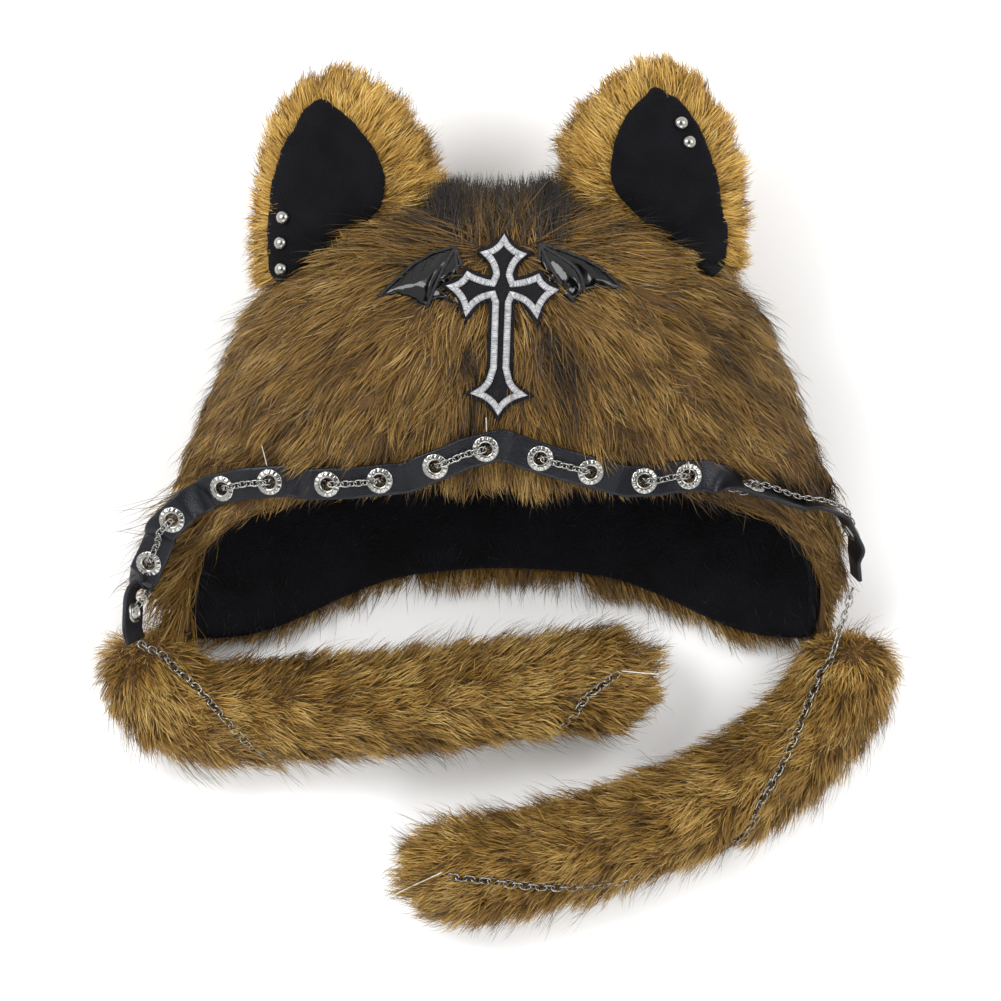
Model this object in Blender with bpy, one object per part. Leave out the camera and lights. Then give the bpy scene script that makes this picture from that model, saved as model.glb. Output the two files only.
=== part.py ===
"""Faux-fur hat with cat ears and two long fur tails, lying on its back.

The hat is laid out flat: +X is to its right as seen from above, +Y runs from the face opening
to the crown, +Z is up from the surface. Lengths are in metres. The origin is on the surface,
under the middle of the hat and its tails.
"""

import math
import random
from collections import namedtuple

import bmesh
import bpy
from mathutils import Vector
from mathutils.bvhtree import BVHTree
from mathutils.geometry import delaunay_2d_cdt

SEAT_GAP = 0.0004
LAY_GAP = 0.0014
FLOOR_Z = 0.0
SEED = 11
UP = Vector((0, 0, 1))

# Crown: an open-mouthed shell of fur fabric with a plush lining inside
CROWN_CENTRE_X = 0.003
FLAP_TIP_Y = -0.066
CROWN_LENGTH = 0.190
CROWN_HALF_WIDTH = 0.149
CROWN_HEIGHT = 0.112
CROWN_AROUND = 40
FUR_WALL = 0.005
LINING_GAP = 0.0009
LINING_WALL = 0.0040
FRONT_FULLNESS = 2.2
BACK_FULLNESS = 3.2
BROW_CURVE = 0.6
NAPE_CURVE = 10

Section = namedtuple("Section", "reach half_width front back side brow nape")
CROWN_SECTIONS = (
    Section(0.00, 0.980, 0.79, 0.00, 0.20, 0.372, 0.170),
    Section(0.12, 1.000, 0.87, 0.00, 0.24, 0.345, 0.170),
    Section(0.23, 0.990, 0.93, 0.00, 0.30, 0.320, 0.170),
    Section(0.33, 0.950, 0.97, 0.00, 0.36, 0.300, 0.170),
    Section(0.43, 0.900, 1.00, 0.00, 0.41, 0.277, 0.163),
    Section(0.54, 0.845, 1.00, 0.00, 0.44, 0.245, 0.140),
    Section(0.65, 0.785, 0.97, 0.00, 0.45, 0.196, 0.109),
    Section(0.76, 0.725, 0.94, 0.02, 0.45, 0.140, 0.068),
    Section(0.86, 0.640, 0.88, 0.07, 0.44, 0.090, 0.033),
    Section(0.93, 0.510, 0.79, 0.16, 0.42, 0.048, 0.010),
    Section(0.975, 0.310, 0.66, 0.27, 0.40, 0.018, 0.000),
)
CROWN_TIP = (1.0, 0.39)

# What lies on the crown has its place as shares of the crown's half width and length
Place = namedtuple("Place", "across along")

# The pile lies in locks: each one leans along the nap and stands off the fabric
LOCK_REACH = 0.013
LOCK_RISE = 0.008
NAP_SOURCE = Place(-0.007, 0.916)

# Ears: puffy fur pads stitched to the top of the crown, each with a plush panel in front
EAR_WIDTH = 0.080
EAR_LENGTH = 0.096
EAR_SEAT = 0.0010
EAR_HALF_DEPTH = 0.017
EAR_MIDDLE_SHARE = 0.571
EAR_LOCK_REACH = 0.009
EAR_LOCK_RISE = 0.0065
PANEL_THICKNESS = 0.0025
PANEL_LIFT = 0.0026
PANEL_STEP = 0.0075
STUD_RADIUS = 0.00315
STUD_HEIGHT = 0.0028
STUD_LIFT = 0.0006

Ear = namedtuple("Ear", "root outline panel studs")
EAR_SHAPES = {
    "left": Ear(
        Place(-0.436, 0.821),
        (
            (-0.47, -0.10), (-0.56, 0.10), (-0.555, 0.31), (-0.53, 0.57), (-0.44, 0.83),
            (-0.30, 0.94), (-0.16, 0.995), (0.025, 0.97), (0.20, 0.865), (0.325, 0.71),
            (0.41, 0.54), (0.46, 0.365), (0.50, 0.23), (0.21, 0.10), (-0.10, -0.04),
        ),
        (
            (-0.20, 0.895), (-0.05, 0.80), (0.075, 0.675), (0.14, 0.54), (0.13, 0.405),
            (-0.01, 0.29), (-0.225, 0.145), (-0.42, 0.02), (-0.475, 0.085), (-0.485, 0.26),
            (-0.46, 0.50), (-0.39, 0.70), (-0.31, 0.82),
        ),
        ((-0.430, 0.350), (-0.442, 0.230), (-0.438, 0.108)),
    ),
    "right": Ear(
        Place(0.450, 0.832),
        (
            (-0.475, 0.27), (-0.49, 0.45), (-0.475, 0.69), (-0.35, 0.83), (-0.19, 0.95),
            (-0.04, 1.005), (0.09, 1.01), (0.24, 0.95), (0.36, 0.79), (0.45, 0.58),
            (0.48, 0.375), (0.46, 0.135), (0.375, -0.08), (0.125, -0.08), (-0.19, 0.06),
        ),
        (
            (0.01, 0.925), (-0.125, 0.82), (-0.21, 0.69), (-0.24, 0.53), (-0.20, 0.437),
            (-0.05, 0.31), (0.15, 0.145), (0.31, 0.02), (0.37, 0.07), (0.39, 0.27),
            (0.345, 0.53), (0.25, 0.74), (0.14, 0.875),
        ),
        ((0.158, 0.770), (0.203, 0.681)),
    ),
}

# Cross: a black felt patch with a raised silver braid round it, pointed at every end
CROSS_CENTRE = Place(-0.005, 0.826)
CROSS_LENGTH = 0.0763
CROSS_LEAN = -0.035
BRAID_WIDTH = 0.0032
BRAID_HEIGHT = 0.0011
BRAID_LIFT = 0.0011
BRAID_STEP = 0.0042
PATCH_STEP = 0.0054
PATCH_MARGIN = 0.0032
PATCH_THICKNESS = 0.0015

Corner = namedtuple("Corner", "across along bow")
CROSS_CORNERS = (
    Corner(0.000, 0.294, 0.10),
    Corner(0.102, 0.211, 0.10),
    Corner(0.037, 0.089, 0.00),
    Corner(0.057, 0.036, 0.05),
    Corner(0.206, 0.080, 0.10),
    Corner(0.295, 0.008, 0.10),
    Corner(0.205, -0.128, 0.12),
    Corner(0.055, -0.027, 0.00),
    Corner(0.037, -0.073, 0.00),
    Corner(0.036, -0.457, 0.00),
    Corner(0.058, -0.535, 0.08),
    Corner(0.131, -0.611, 0.10),
    Corner(0.000, -0.706, 0.00),
)

# Wings: glossy black leathercloth, puffed between ribs, one on each side of the cross
WING_THICKNESS = 0.0018
WING_SWELL = 0.0016
WING_STEP = 0.009
WING_OUTLINES = {
    "left": (
        (-0.278, 0.255), (-0.410, 0.222), (-0.528, 0.153), (-0.655, 0.036), (-0.739, -0.047),
        (-0.606, -0.032), (-0.528, -0.058), (-0.446, -0.111), (-0.395, -0.062), (-0.333, -0.062),
        (-0.245, -0.145), (-0.215, -0.020), (-0.235, 0.130),
    ),
    "right": (
        (0.225, 0.271), (0.333, 0.241), (0.489, 0.183), (0.606, 0.114), (0.723, -0.004),
        (0.567, 0.001), (0.489, -0.013), (0.420, -0.072), (0.362, -0.042), (0.260, -0.040),
        (0.215, 0.060), (0.215, 0.150),
    ),
}

# Strap: a band of black leathercloth with eyelets, laid round the brow
STRAP_WIDTH = 0.0145
STRAP_THICKNESS = 0.0018
STRAP_LIFT = 0.0064
EYELET_RADIUS = 0.0061
EYELET_HOLE = 0.00275
EYELET_BARREL = 0.0004
FLANGE_RISE = 0.0008
CHAIN_RADIUS = 0.0013
CHAIN_SLACK = 1.8

# Places are shares of the crown's half width and length, turns are degrees about the strap
Station = namedtuple("Station", "across along least_height turn eyelet")
STRAP_STATIONS = (
    Station(-1.114, -0.006, 0.52, -125, False),
    Station(-1.119, 0.062, 0.47, -125, True),
    Station(-1.107, 0.120, 0.45, -62, False),
    Station(-1.069, 0.181, 0.46, -8, True),
    Station(-1.039, 0.236, 0.52, 0, False),
    Station(-1.000, 0.284, 0.60, 0, True),
    Station(-0.903, 0.339, 0.60, 4, False),
    Station(-0.846, 0.358, 0.60, 6, True),
    Station(-0.704, 0.373, 0.60, 8, True),
    Station(-0.617, 0.370, 0.60, 8, False),
    Station(-0.532, 0.368, 0.60, 10, True),
    Station(-0.374, 0.377, 0.60, 12, True),
    Station(-0.284, 0.385, 0.60, 12, False),
    Station(-0.206, 0.411, 0.60, 12, True),
    Station(-0.055, 0.452, 0.60, 12, True),
    Station(0.018, 0.452, 0.60, 12, False),
    Station(0.108, 0.430, 0.60, 12, True),
    Station(0.259, 0.397, 0.60, 10, True),
    Station(0.350, 0.377, 0.60, 8, False),
    Station(0.422, 0.375, 0.60, 4, True),
    Station(0.556, 0.385, 0.60, 0, True),
    Station(0.637, 0.382, 0.60, -12, False),
    Station(0.745, 0.358, 0.60, -68, True),
    Station(0.890, 0.318, 0.62, -80, False),
    Station(0.985, 0.304, 0.58, -90, False),
    Station(1.042, 0.255, 0.50, -104, True),
    Station(1.058, 0.190, 0.44, -104, False),
    Station(1.064, 0.145, 0.40, -104, False),
)

# Tails: fur tubes sewn to the flap tips and curled in under the opening
TAIL_RADIUS = 0.0190
TAIL_SINK = 0.97
TAIL_AROUND = 12
TAIL_RINGS = 24
TAIL_LOCK_REACH = 0.014
TAIL_LOCK_RISE = 0.007
TAIL_SEAM_GAP = 0.0007
TAIL_CHAIN_SIDES = 6

# The first turn of each route is the seam under the flap's tip
TAIL_ROUTES = {
    "left": (
        Place(-1.074, 0.0), Place(-1.074, -0.0495), Place(-1.059, -0.095), Place(-1.020, -0.134),
        Place(-0.960, -0.160), Place(-0.879, -0.1705), Place(-0.557, -0.165), Place(-0.255, -0.147),
        Place(0.047, -0.118), Place(0.289, -0.097), Place(0.410, -0.089),
    ),
    "right": (
        Place(1.034, 0.0), Place(1.040, -0.0495), Place(1.007, -0.123), Place(0.946, -0.192),
        Place(0.819, -0.286), Place(0.665, -0.3705), Place(0.457, -0.438), Place(0.248, -0.490),
        Place(0.040, -0.530), Place(-0.148, -0.548), Place(-0.262, -0.548),
    ),
}
# How far the chain leans from the top of the tail, in degrees to the left of its run
ChainTurn = namedtuple("ChainTurn", "share lean")
TAIL_CHAINS = {
    "left": (
        ChainTurn(0.024, 15), ChainTurn(0.076, 33), ChainTurn(0.152, 30), ChainTurn(0.194, 15),
        ChainTurn(0.225, -5), ChainTurn(0.255, -28), ChainTurn(0.31, -70), ChainTurn(0.42, -98),
        ChainTurn(0.60, -105), ChainTurn(0.78, -92), ChainTurn(0.86, -48), ChainTurn(0.895, -20),
        ChainTurn(0.930, -5), ChainTurn(0.960, 7),
    ),
    "right": (
        ChainTurn(0.030, -19), ChainTurn(0.088, -29), ChainTurn(0.166, -20), ChainTurn(0.213, -8),
        ChainTurn(0.259, 5), ChainTurn(0.308, 19), ChainTurn(0.351, 33), ChainTurn(0.410, 74),
        ChainTurn(0.470, 95), ChainTurn(0.530, 92), ChainTurn(0.575, 74), ChainTurn(0.644, 63),
        ChainTurn(0.719, 49), ChainTurn(0.794, 31), ChainTurn(0.879, 14), ChainTurn(0.940, 6),
    ),
}

FUR_COLOUR = (0.42, 0.25, 0.07)
EAR_FUR_COLOUR = (0.50, 0.31, 0.10)
PLUSH_COLOUR = (0.012, 0.012, 0.014)
FELT_COLOUR = (0.015, 0.015, 0.017)
LEATHERCLOTH_COLOUR = (0.02, 0.02, 0.024)
STEEL_COLOUR = (0.78, 0.78, 0.80)
SILVER_COLOUR = (0.66, 0.66, 0.67)


def clear_scene():
    for thing in list(bpy.data.objects):
        bpy.data.objects.remove(thing)


def material(name, colour, roughness, metallic=0.0):
    made = bpy.data.materials.new(name)
    made.use_nodes = True
    shader = made.node_tree.nodes["Principled BSDF"]
    shader.inputs["Base Color"].default_value = (*colour, 1.0)
    shader.inputs["Roughness"].default_value = roughness
    shader.inputs["Metallic"].default_value = metallic
    return made


def add_object(name, bm, finish):
    mesh = bpy.data.meshes.new(name)
    bmesh.ops.recalc_face_normals(bm, faces=bm.faces)
    bm.to_mesh(mesh)
    bm.free()
    mesh.materials.append(finish)
    made = bpy.data.objects.new(name, mesh)
    bpy.context.collection.objects.link(made)
    return made


def tree_of(*objects):
    """One search tree over the finished meshes of several objects."""
    bpy.context.view_layer.update()
    graph = bpy.context.evaluated_depsgraph_get()
    points, faces = [], []
    for thing in objects:
        mesh = thing.evaluated_get(graph).data
        start = len(points)
        points += [vert.co.copy() for vert in mesh.vertices]
        faces += [[start + k for k in face.vertices] for face in mesh.polygons]
    return BVHTree.FromPolygons(points, faces)


def surface_under(tree, x, y):
    """Highest point at x, y and the way its surface faces, or two Nones beside it."""
    return tree.ray_cast(Vector((x, y, 1.0)), -UP)[:2]


def bridge(bm, first, second):
    """A closed belt of triangles between two loops of verts with the same count."""
    count = len(first)
    for k in range(count):
        after = (k + 1) % count
        bm.faces.new((first[k], first[after], second[after]))
        bm.faces.new((first[k], second[after], second[k]))


def fan(bm, loop, point):
    """Closes a loop of verts with triangles to one point."""
    end = bm.verts.new(point)
    for k, vert in enumerate(loop):
        bm.faces.new((vert, loop[(k + 1) % len(loop)], end))


def on_crown(place):
    """The point, seen from above, at a place given as shares of the crown's sizes."""
    x = CROWN_CENTRE_X + place.across * CROWN_HALF_WIDTH
    return Vector((x, FLAP_TIP_Y + place.along * CROWN_LENGTH, 0))


def crown_point(section, angle):
    """A point of the crown's outer surface: angle 0 is the right side, 90 degrees the front."""
    across, up = math.cos(angle), math.sin(angle)
    fullness = FRONT_FULLNESS if up >= 0 else BACK_FULLNESS
    share = math.copysign(abs(across) ** (2 / fullness), across)
    rise = abs(up) ** (2 / fullness)
    side_z = section.side * CROWN_HEIGHT
    y = FLAP_TIP_Y + section.reach * CROWN_LENGTH
    if up >= 0:
        y += section.brow * CROWN_LENGTH * up**BROW_CURVE
        z = side_z + (section.front * CROWN_HEIGHT - side_z) * rise
    else:
        y += section.nape * CROWN_LENGTH * abs(up) ** NAPE_CURVE
        z = side_z - (side_z - section.back * CROWN_HEIGHT) * rise
    return Vector((CROWN_CENTRE_X + share * section.half_width * CROWN_HALF_WIDTH, y, z + FLOOR_Z))


def crown_surface(depth):
    """Rings and tip of the crown, moved inwards from its outer fabric by depth."""
    turns = [2 * math.pi * k / CROWN_AROUND for k in range(CROWN_AROUND)]
    rings = [[crown_point(section, turn) for turn in turns] for section in CROWN_SECTIONS]
    reach, height = CROWN_TIP
    tip = Vector((CROWN_CENTRE_X, FLAP_TIP_Y + reach * CROWN_LENGTH, height * CROWN_HEIGHT))
    moved = []
    for row, ring in enumerate(rings):
        ahead = rings[row + 1] if row + 1 < len(rings) else [tip] * CROWN_AROUND
        behind = rings[row - 1] if row else ring
        moved.append([])
        for k in range(CROWN_AROUND):
            around = ring[(k + 1) % CROWN_AROUND] - ring[k - 1]
            normal = (ahead[k] - behind[k]).cross(around).normalized()
            moved[-1].append(ring[k] - normal * depth)
    return moved, tip - Vector((0, depth, 0))


def loft(bm, rings, tip, quads):
    """Faces between neighbouring rings and a fan to the tip. Returns the loop round the mouth."""
    rows = [[bm.verts.new(point) for point in ring] for ring in rings]
    count = len(rows[0])
    for lower, upper in zip(rows, rows[1:], strict=False):
        if not quads:
            bridge(bm, lower, upper)
            continue
        for k in range(count):
            after = (k + 1) % count
            bm.faces.new((lower[k], lower[after], upper[after], upper[k]))
    fan(bm, rows[-1], tip)
    return rows[0]


def crown_shell(depth, wall, quads):
    """A wall between two depths of the crown's surface, joined round the mouth."""
    bm = bmesh.new()
    outer_mouth = loft(bm, *crown_surface(depth), quads)
    inner_mouth = loft(bm, *crown_surface(depth + wall), False)
    bridge(bm, outer_mouth, inner_mouth)
    bmesh.ops.recalc_face_normals(bm, faces=bm.faces)
    return bm


def nap_of_crown(point):
    """The crown's pile is combed away from one spot high on its front."""
    source = on_crown(NAP_SOURCE)
    return Vector((point.x - source.x, point.y - source.y, 0))


def raise_locks(thing, direction, reach, rise, obstacles):
    """Pulls each four-sided face of fur out into a lock, where nothing lies on it."""
    rng = random.Random(SEED)
    around = tree_of(*obstacles)
    bm = bmesh.new()
    bm.from_mesh(thing.data)
    bm.normal_update()
    chosen = []
    for face in bm.faces:
        middle, normal = face.calc_center_median(), face.normal.copy()
        along = direction(middle)
        along = (along - normal * along.dot(normal)).normalized()
        lean = along * reach * rng.uniform(0.8, 1.2)
        height = rise * rng.uniform(0.7, 1.15)
        on_floor = normal.z < -0.4 or middle.z < 0.004
        if len(face.verts) != 4 or on_floor:
            continue
        for share in (1.0, 0.55, 0.25):
            tip = middle + lean * share + normal * height * share
            tip.z = max(tip.z, FLOOR_Z)
            if stands_clear([vert.co for vert in face.verts], tip, normal, around):
                chosen.append((face, tip))
                break
    made = bmesh.ops.poke(bm, faces=[face for face, _ in chosen])
    for vert, (_, tip) in zip(made["verts"], chosen, strict=True):
        vert.co = tip
    bm.to_mesh(thing.data)
    bm.free()


def stands_clear(base, tip, normal, around):
    """Whether a lock over this base, made a little larger, touches nothing else."""
    middle = sum(base, Vector()) / len(base)
    wide = [corner + (corner - middle) * 0.08 for corner in base]
    far = tip + normal * 0.0012 + (tip - middle).normalized() * 0.0008
    lock = BVHTree.FromPolygons([*wide, far], [(k, (k + 1) % 4, 4) for k in range(4)])
    return not lock.overlap(around)


def add_crown(fur, plush):
    body = add_object("crown_fur", crown_shell(0.0, FUR_WALL, True), fur)
    lining_depth = FUR_WALL + LINING_GAP
    lining = add_object("crown_lining", crown_shell(lining_depth, LINING_WALL, False), plush)
    return body, lining


def crown_cutter():
    """The crown as a solid, a little larger all round, to cut the ears' roots with."""
    bm = bmesh.new()
    mouth = loft(bm, *crown_surface(-EAR_SEAT), False)
    fan(bm, mouth, sum((vert.co for vert in mouth), Vector()) / len(mouth))
    cutter = add_object("crown_cutter", bm, None)
    cutter.hide_render = True
    cutter.display_type = "WIRE"
    return cutter


def cut(thing, cutter):
    changed = thing.modifiers.new("cut", "BOOLEAN")
    changed.operation = "DIFFERENCE"
    changed.solver = "EXACT"
    changed.object = cutter


def settle(thing):
    """Replaces an object's mesh by the result of its modifiers."""
    bpy.context.view_layer.update()
    graph = bpy.context.evaluated_depsgraph_get()
    finished = bpy.data.meshes.new_from_object(thing.evaluated_get(graph))
    thing.modifiers.clear()
    thing.data = finished


def placed(points, root, width, length):
    start = on_crown(root)
    return [start + Vector((across * width, along * length, 0)) for across, along in points]


def pad(outline, middle_z, half_depth, rings):
    """A puffy pad inside a closed outline: thin at its edge, full towards its middle."""
    bm = bmesh.new()
    centre = sum(outline, Vector()) / len(outline)
    edge = [bm.verts.new(point + UP * middle_z) for point in outline]
    for side in (1, -1):
        last = edge
        for step in range(1, rings + 1):
            share = step / (rings + 1)
            rise = side * half_depth * math.sqrt(1 - (1 - share) ** 2.6)
            row = [
                bm.verts.new(point.lerp(centre, share) + UP * (middle_z + rise)) for point in outline
            ]
            for k in range(len(row)):
                after = (k + 1) % len(row)
                bm.faces.new((last[k], last[after], row[after], row[k]))
            last = row
        fan(bm, last, centre + UP * (middle_z + side * half_depth))
    bmesh.ops.recalc_face_normals(bm, faces=bm.faces)
    return bm


def sheet_on(tree, outline, spacing, lift, thickness, swell=0.0):
    """A sheet with this outline, laid over what is below it and swollen towards its middle."""
    rim = []
    for k, point in enumerate(outline):
        after = outline[(k + 1) % len(outline)]
        parts = max(1, round((after - point).length / spacing))
        rim += [point.lerp(after, part / parts) for part in range(parts)]
    inner = []
    low_x, high_x = min(p.x for p in rim), max(p.x for p in rim)
    low_y, high_y = min(p.y for p in rim), max(p.y for p in rim)
    for i in range(1, math.ceil((high_x - low_x) / spacing)):
        for j in range(1, math.ceil((high_y - low_y) / spacing)):
            shift = 0.5 * spacing * (j % 2)
            point = Vector((low_x + i * spacing - shift, low_y + j * spacing, 0))
            if edge_distance(rim, point) > 0.55 * spacing:
                inner.append(point)
    flat = [point.to_2d() for point in rim + inner]
    around = [(k, (k + 1) % len(rim)) for k in range(len(rim))]
    flat, _, faces, *_ = delaunay_2d_cdt(flat, around, [list(range(len(rim)))], 1, 1e-7)
    bm = bmesh.new()
    bottoms, tops = [], []
    for point in flat:
        seat, normal = surface_under(tree, point.x, point.y)
        puff = swell * min(1.0, max(0.0, edge_distance(rim, point)) / (1.2 * spacing))
        bottoms.append(bm.verts.new(seat + normal * lift))
        tops.append(bm.verts.new(seat + normal * (lift + thickness + puff)))
    for face in faces:
        bm.faces.new([tops[k] for k in face])
        bm.faces.new([bottoms[k] for k in reversed(face)])
    count = len(rim)
    for k in range(count):
        after = (k + 1) % count
        bm.faces.new((bottoms[k], bottoms[after], tops[after], tops[k]))
    return bm


def edge_distance(outline, point):
    """Distance from a point inside an outline to its edge, negative outside."""
    inside = False
    nearest = 1.0
    x, y = point.x, point.y
    for k, start in enumerate(outline):
        end = outline[(k + 1) % len(outline)]
        side = end - start
        share = ((x - start.x) * side.x + (y - start.y) * side.y) / max(side.length_squared, 1e-12)
        share = min(1.0, max(0.0, share))
        near_x, near_y = start.x + share * side.x, start.y + share * side.y
        nearest = min(nearest, math.hypot(x - near_x, y - near_y))
        if (start.y > y) != (end.y > y) and x < start.x + (y - start.y) / (end.y - start.y) * side.x:
            inside = not inside
    return nearest if inside else -nearest


def add_ear(side, cutter, fur):
    shape = EAR_SHAPES[side]
    outline = placed(shape.outline, shape.root, EAR_WIDTH, EAR_LENGTH)
    middle_z = EAR_MIDDLE_SHARE * CROWN_HEIGHT
    body = add_object(f"ear_fur_{side}", pad(outline, middle_z, EAR_HALF_DEPTH, 4), fur)
    cut(body, cutter)
    settle(body)
    return body


def add_ear_trim(side, ear, crown, plush, steel):
    shape = EAR_SHAPES[side]
    panel = placed(shape.panel, shape.root, EAR_WIDTH, EAR_LENGTH)
    below = tree_of(ear, crown)
    bm = sheet_on(below, panel, PANEL_STEP, PANEL_LIFT, PANEL_THICKNESS, PANEL_THICKNESS * 0.6)
    trim = [add_object(f"ear_panel_{side}", bm, plush)]
    below = tree_of(ear, crown, trim[0])
    for number, place in enumerate(placed(shape.studs, shape.root, EAR_WIDTH, EAR_LENGTH), 1):
        trim.append(add_object(f"ear_stud_{side}_{number}", stud(below, place), steel))
    return trim


def stud(below, place):
    """A domed stud with a flat back, standing square to the surface it sits on."""
    seat, normal, *_ = below.ray_cast(place + UP, -UP)
    turn = UP.rotation_difference(normal)
    bm = bmesh.new()
    profile = ((1.0, 0.0), (1.0, 0.35), (0.72, 0.8))
    rows = []
    for radius, height in profile:
        row = []
        for k in range(10):
            angle = 2 * math.pi * k / 10
            local = Vector((radius * STUD_RADIUS * math.cos(angle), radius * STUD_RADIUS * math.sin(angle), 0))
            local.z = height * STUD_HEIGHT
            row.append(bm.verts.new(seat + normal * STUD_LIFT + turn @ local))
        rows.append(row)
    for lower, upper in zip(rows, rows[1:], strict=False):
        bridge(bm, lower, upper)
    fan(bm, rows[-1], seat + normal * (STUD_LIFT + STUD_HEIGHT))
    fan(bm, rows[0], seat + normal * STUD_LIFT)
    return bm


def cross_line(offset=0.0):
    """The cross's pointed outline, leaned and placed on the crown, moved outwards by offset."""
    mirrored = [Corner(-c.across, c.along, 0.0) for c in reversed(CROSS_CORNERS[1:-1])]
    bows = [corner.bow for corner in CROSS_CORNERS[:-1]]
    corners = list(CROSS_CORNERS) + mirrored
    bows += bows[::-1]
    line = []
    for k, corner in enumerate(corners):
        after = corners[(k + 1) % len(corners)]
        start = Vector((corner.across, corner.along, 0)) * CROSS_LENGTH
        end = Vector((after.across, after.along, 0)) * CROSS_LENGTH
        inward = Vector((end.y - start.y, start.x - end.x, 0))
        parts = max(1, round((end - start).length / BRAID_STEP))
        for part in range(parts):
            share = part / parts
            bow = 4 * share * (1 - share) * bows[k]
            line.append(start.lerp(end, share) + inward * bow)
    count = len(line)
    moved = []
    for k in range(count):
        before = (line[k] - line[k - 1]).normalized()
        after = (line[(k + 1) % count] - line[k]).normalized()
        outward = Vector((-before.y - after.y, before.x + after.x, 0)).normalized()
        spread = max(0.5, outward.dot(Vector((-before.y, before.x, 0))))
        moved.append(line[k] + outward * offset / spread)
    turn = math.cos(CROSS_LEAN), math.sin(CROSS_LEAN)
    centre = on_crown(CROSS_CENTRE)
    return [
        centre + Vector((p.x * turn[0] - p.y * turn[1], p.x * turn[1] + p.y * turn[0], 0))
        for p in moved
    ]


def add_cross(crown, felt, silver):
    below = tree_of(crown)
    bm = sheet_on(below, cross_line(PATCH_MARGIN), PATCH_STEP, LAY_GAP, PATCH_THICKNESS)
    patch = add_object("cross_patch", bm, felt)
    below = tree_of(patch)
    half = BRAID_WIDTH / 2
    section = ((half, 0.0), (half * 0.6, BRAID_HEIGHT), (-half * 0.6, BRAID_HEIGHT), (-half, 0.0))
    bm = bmesh.new()
    rows = []
    for offset, rise in section:
        row = []
        for point in cross_line(offset):
            seat, normal = surface_under(below, point.x, point.y)
            row.append(bm.verts.new(seat + normal * (BRAID_LIFT + rise)))
        rows.append(row)
    for row, after in zip(rows, rows[1:] + rows[:1], strict=True):
        bridge(bm, row, after)
    braid = add_object("cross_braid", bm, silver)
    return patch, braid


def cross_cutter():
    """A tall prism round the cross patch, to cut away the parts of the wings that it covers."""
    bm = bmesh.new()
    line = cross_line(PATCH_MARGIN + 3 * SEAT_GAP)
    low = [bm.verts.new(point + UP * CROWN_HEIGHT * 0.5) for point in line]
    high = [bm.verts.new(point + UP * CROWN_HEIGHT * 1.5) for point in line]
    bridge(bm, low, high)
    bm.faces.new(reversed(low))
    bm.faces.new(high)
    cutter = add_object("cross_cutter", bm, None)
    cutter.hide_render = True
    cutter.display_type = "WIRE"
    return cutter


def add_wing(side, crown, cutter, vinyl):
    outline = placed(WING_OUTLINES[side], CROSS_CENTRE, CROSS_LENGTH, CROSS_LENGTH)
    bm = sheet_on(tree_of(crown), outline, WING_STEP, LAY_GAP, WING_THICKNESS, WING_SWELL)
    wing = add_object(f"wing_{side}", bm, vinyl)
    cut(wing, cutter)
    return wing


def smooth_step(value):
    return value * value * (3 - 2 * value)


def strap_frames(below):
    """Places along the strap: distance, centre, direction and outward face at each."""
    points, turns = [], []
    for station in STRAP_STATIONS:
        place = on_crown(station)
        least = station.least_height * CROWN_HEIGHT
        rest, _ = surface_under(below, place.x, place.y)
        turn = math.radians(station.turn)
        lift = STRAP_LIFT * abs(math.cos(turn)) + STRAP_WIDTH * 0.62 * abs(math.sin(turn))
        if rest:
            least = max(rest.z + lift, least)
        points.append(place + UP * least)
        turns.append(turn)
    runs = []
    for k, point in enumerate(points):
        before, after = points[max(k - 1, 0)], points[min(k + 1, len(points) - 1)]
        runs.append((after - before).normalized())
    frames = []
    straight = EYELET_RADIUS * 1.06
    for k, (point, run, turn) in enumerate(zip(points, runs, turns, strict=True)):
        if STRAP_STATIONS[k].eyelet:
            frames.append((point - run * straight, run, turn, None))
            frames.append((point, run, turn, k))
            frames.append((point + run * straight, run, turn, None))
        else:
            frames.append((point, run, turn, None))
    line = []
    for first, second in zip(frames, frames[1:], strict=False):
        line.append(first)
        if first[3] is not None or second[3] is not None:
            continue
        gap = (second[0] - first[0]).length
        for part in (1 / 3, 2 / 3):
            lead = first[0] + first[1] * gap * part
            trail = second[0] - second[1] * gap * (1 - part)
            ease = smooth_step(part)
            run = first[1].lerp(second[1], ease).normalized()
            line.append((lead.lerp(trail, ease), run, first[2] + (second[2] - first[2]) * ease, None))
    line.append(frames[-1])
    made = []
    for point, run, turn, eyelet in line:
        face = (UP - run * run.z).normalized()
        side = run.cross(face)
        outward = face * math.cos(turn) + side * math.sin(turn)
        made.append((point, run, outward, eyelet))
    return made


def add_strap(frames, vinyl):
    bm = bmesh.new()
    rows = []
    for point, run, outward, eyelet in frames:
        if eyelet is not None:
            continue
        side = run.cross(outward) * STRAP_WIDTH / 2
        rise = outward * STRAP_THICKNESS / 2
        corners = (point + side + rise, point - side + rise, point - side - rise, point + side - rise)
        rows.append([bm.verts.new(corner) for corner in corners])
    for row, after in zip(rows, rows[1:], strict=False):
        bridge(bm, row, after)
    bm.faces.new(rows[0])
    bm.faces.new(reversed(rows[-1]))
    strap = add_object("strap", bm, vinyl)
    bm = bmesh.new()
    for point, run, outward, eyelet in frames:
        if eyelet is not None:
            ring = ring_points(point, run, outward, EYELET_HOLE + EYELET_BARREL + 0.0003, 10)
            reach = outward * STRAP_THICKNESS
            low = [bm.verts.new(spot - reach) for spot in ring]
            high = [bm.verts.new(spot + reach) for spot in ring]
            bridge(bm, low, high)
            bm.faces.new(reversed(low))
            bm.faces.new(high)
    punch = add_object("strap_punch", bm, None)
    punch.hide_render = True
    punch.display_type = "WIRE"
    cut(strap, punch)
    return strap


def ring_points(point, run, outward, radius, count):
    side = run.cross(outward)
    turns = [2 * math.pi * (k + 0.5) / count for k in range(count)]
    return [point + (run * math.cos(turn) + side * math.sin(turn)) * radius for turn in turns]


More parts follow.
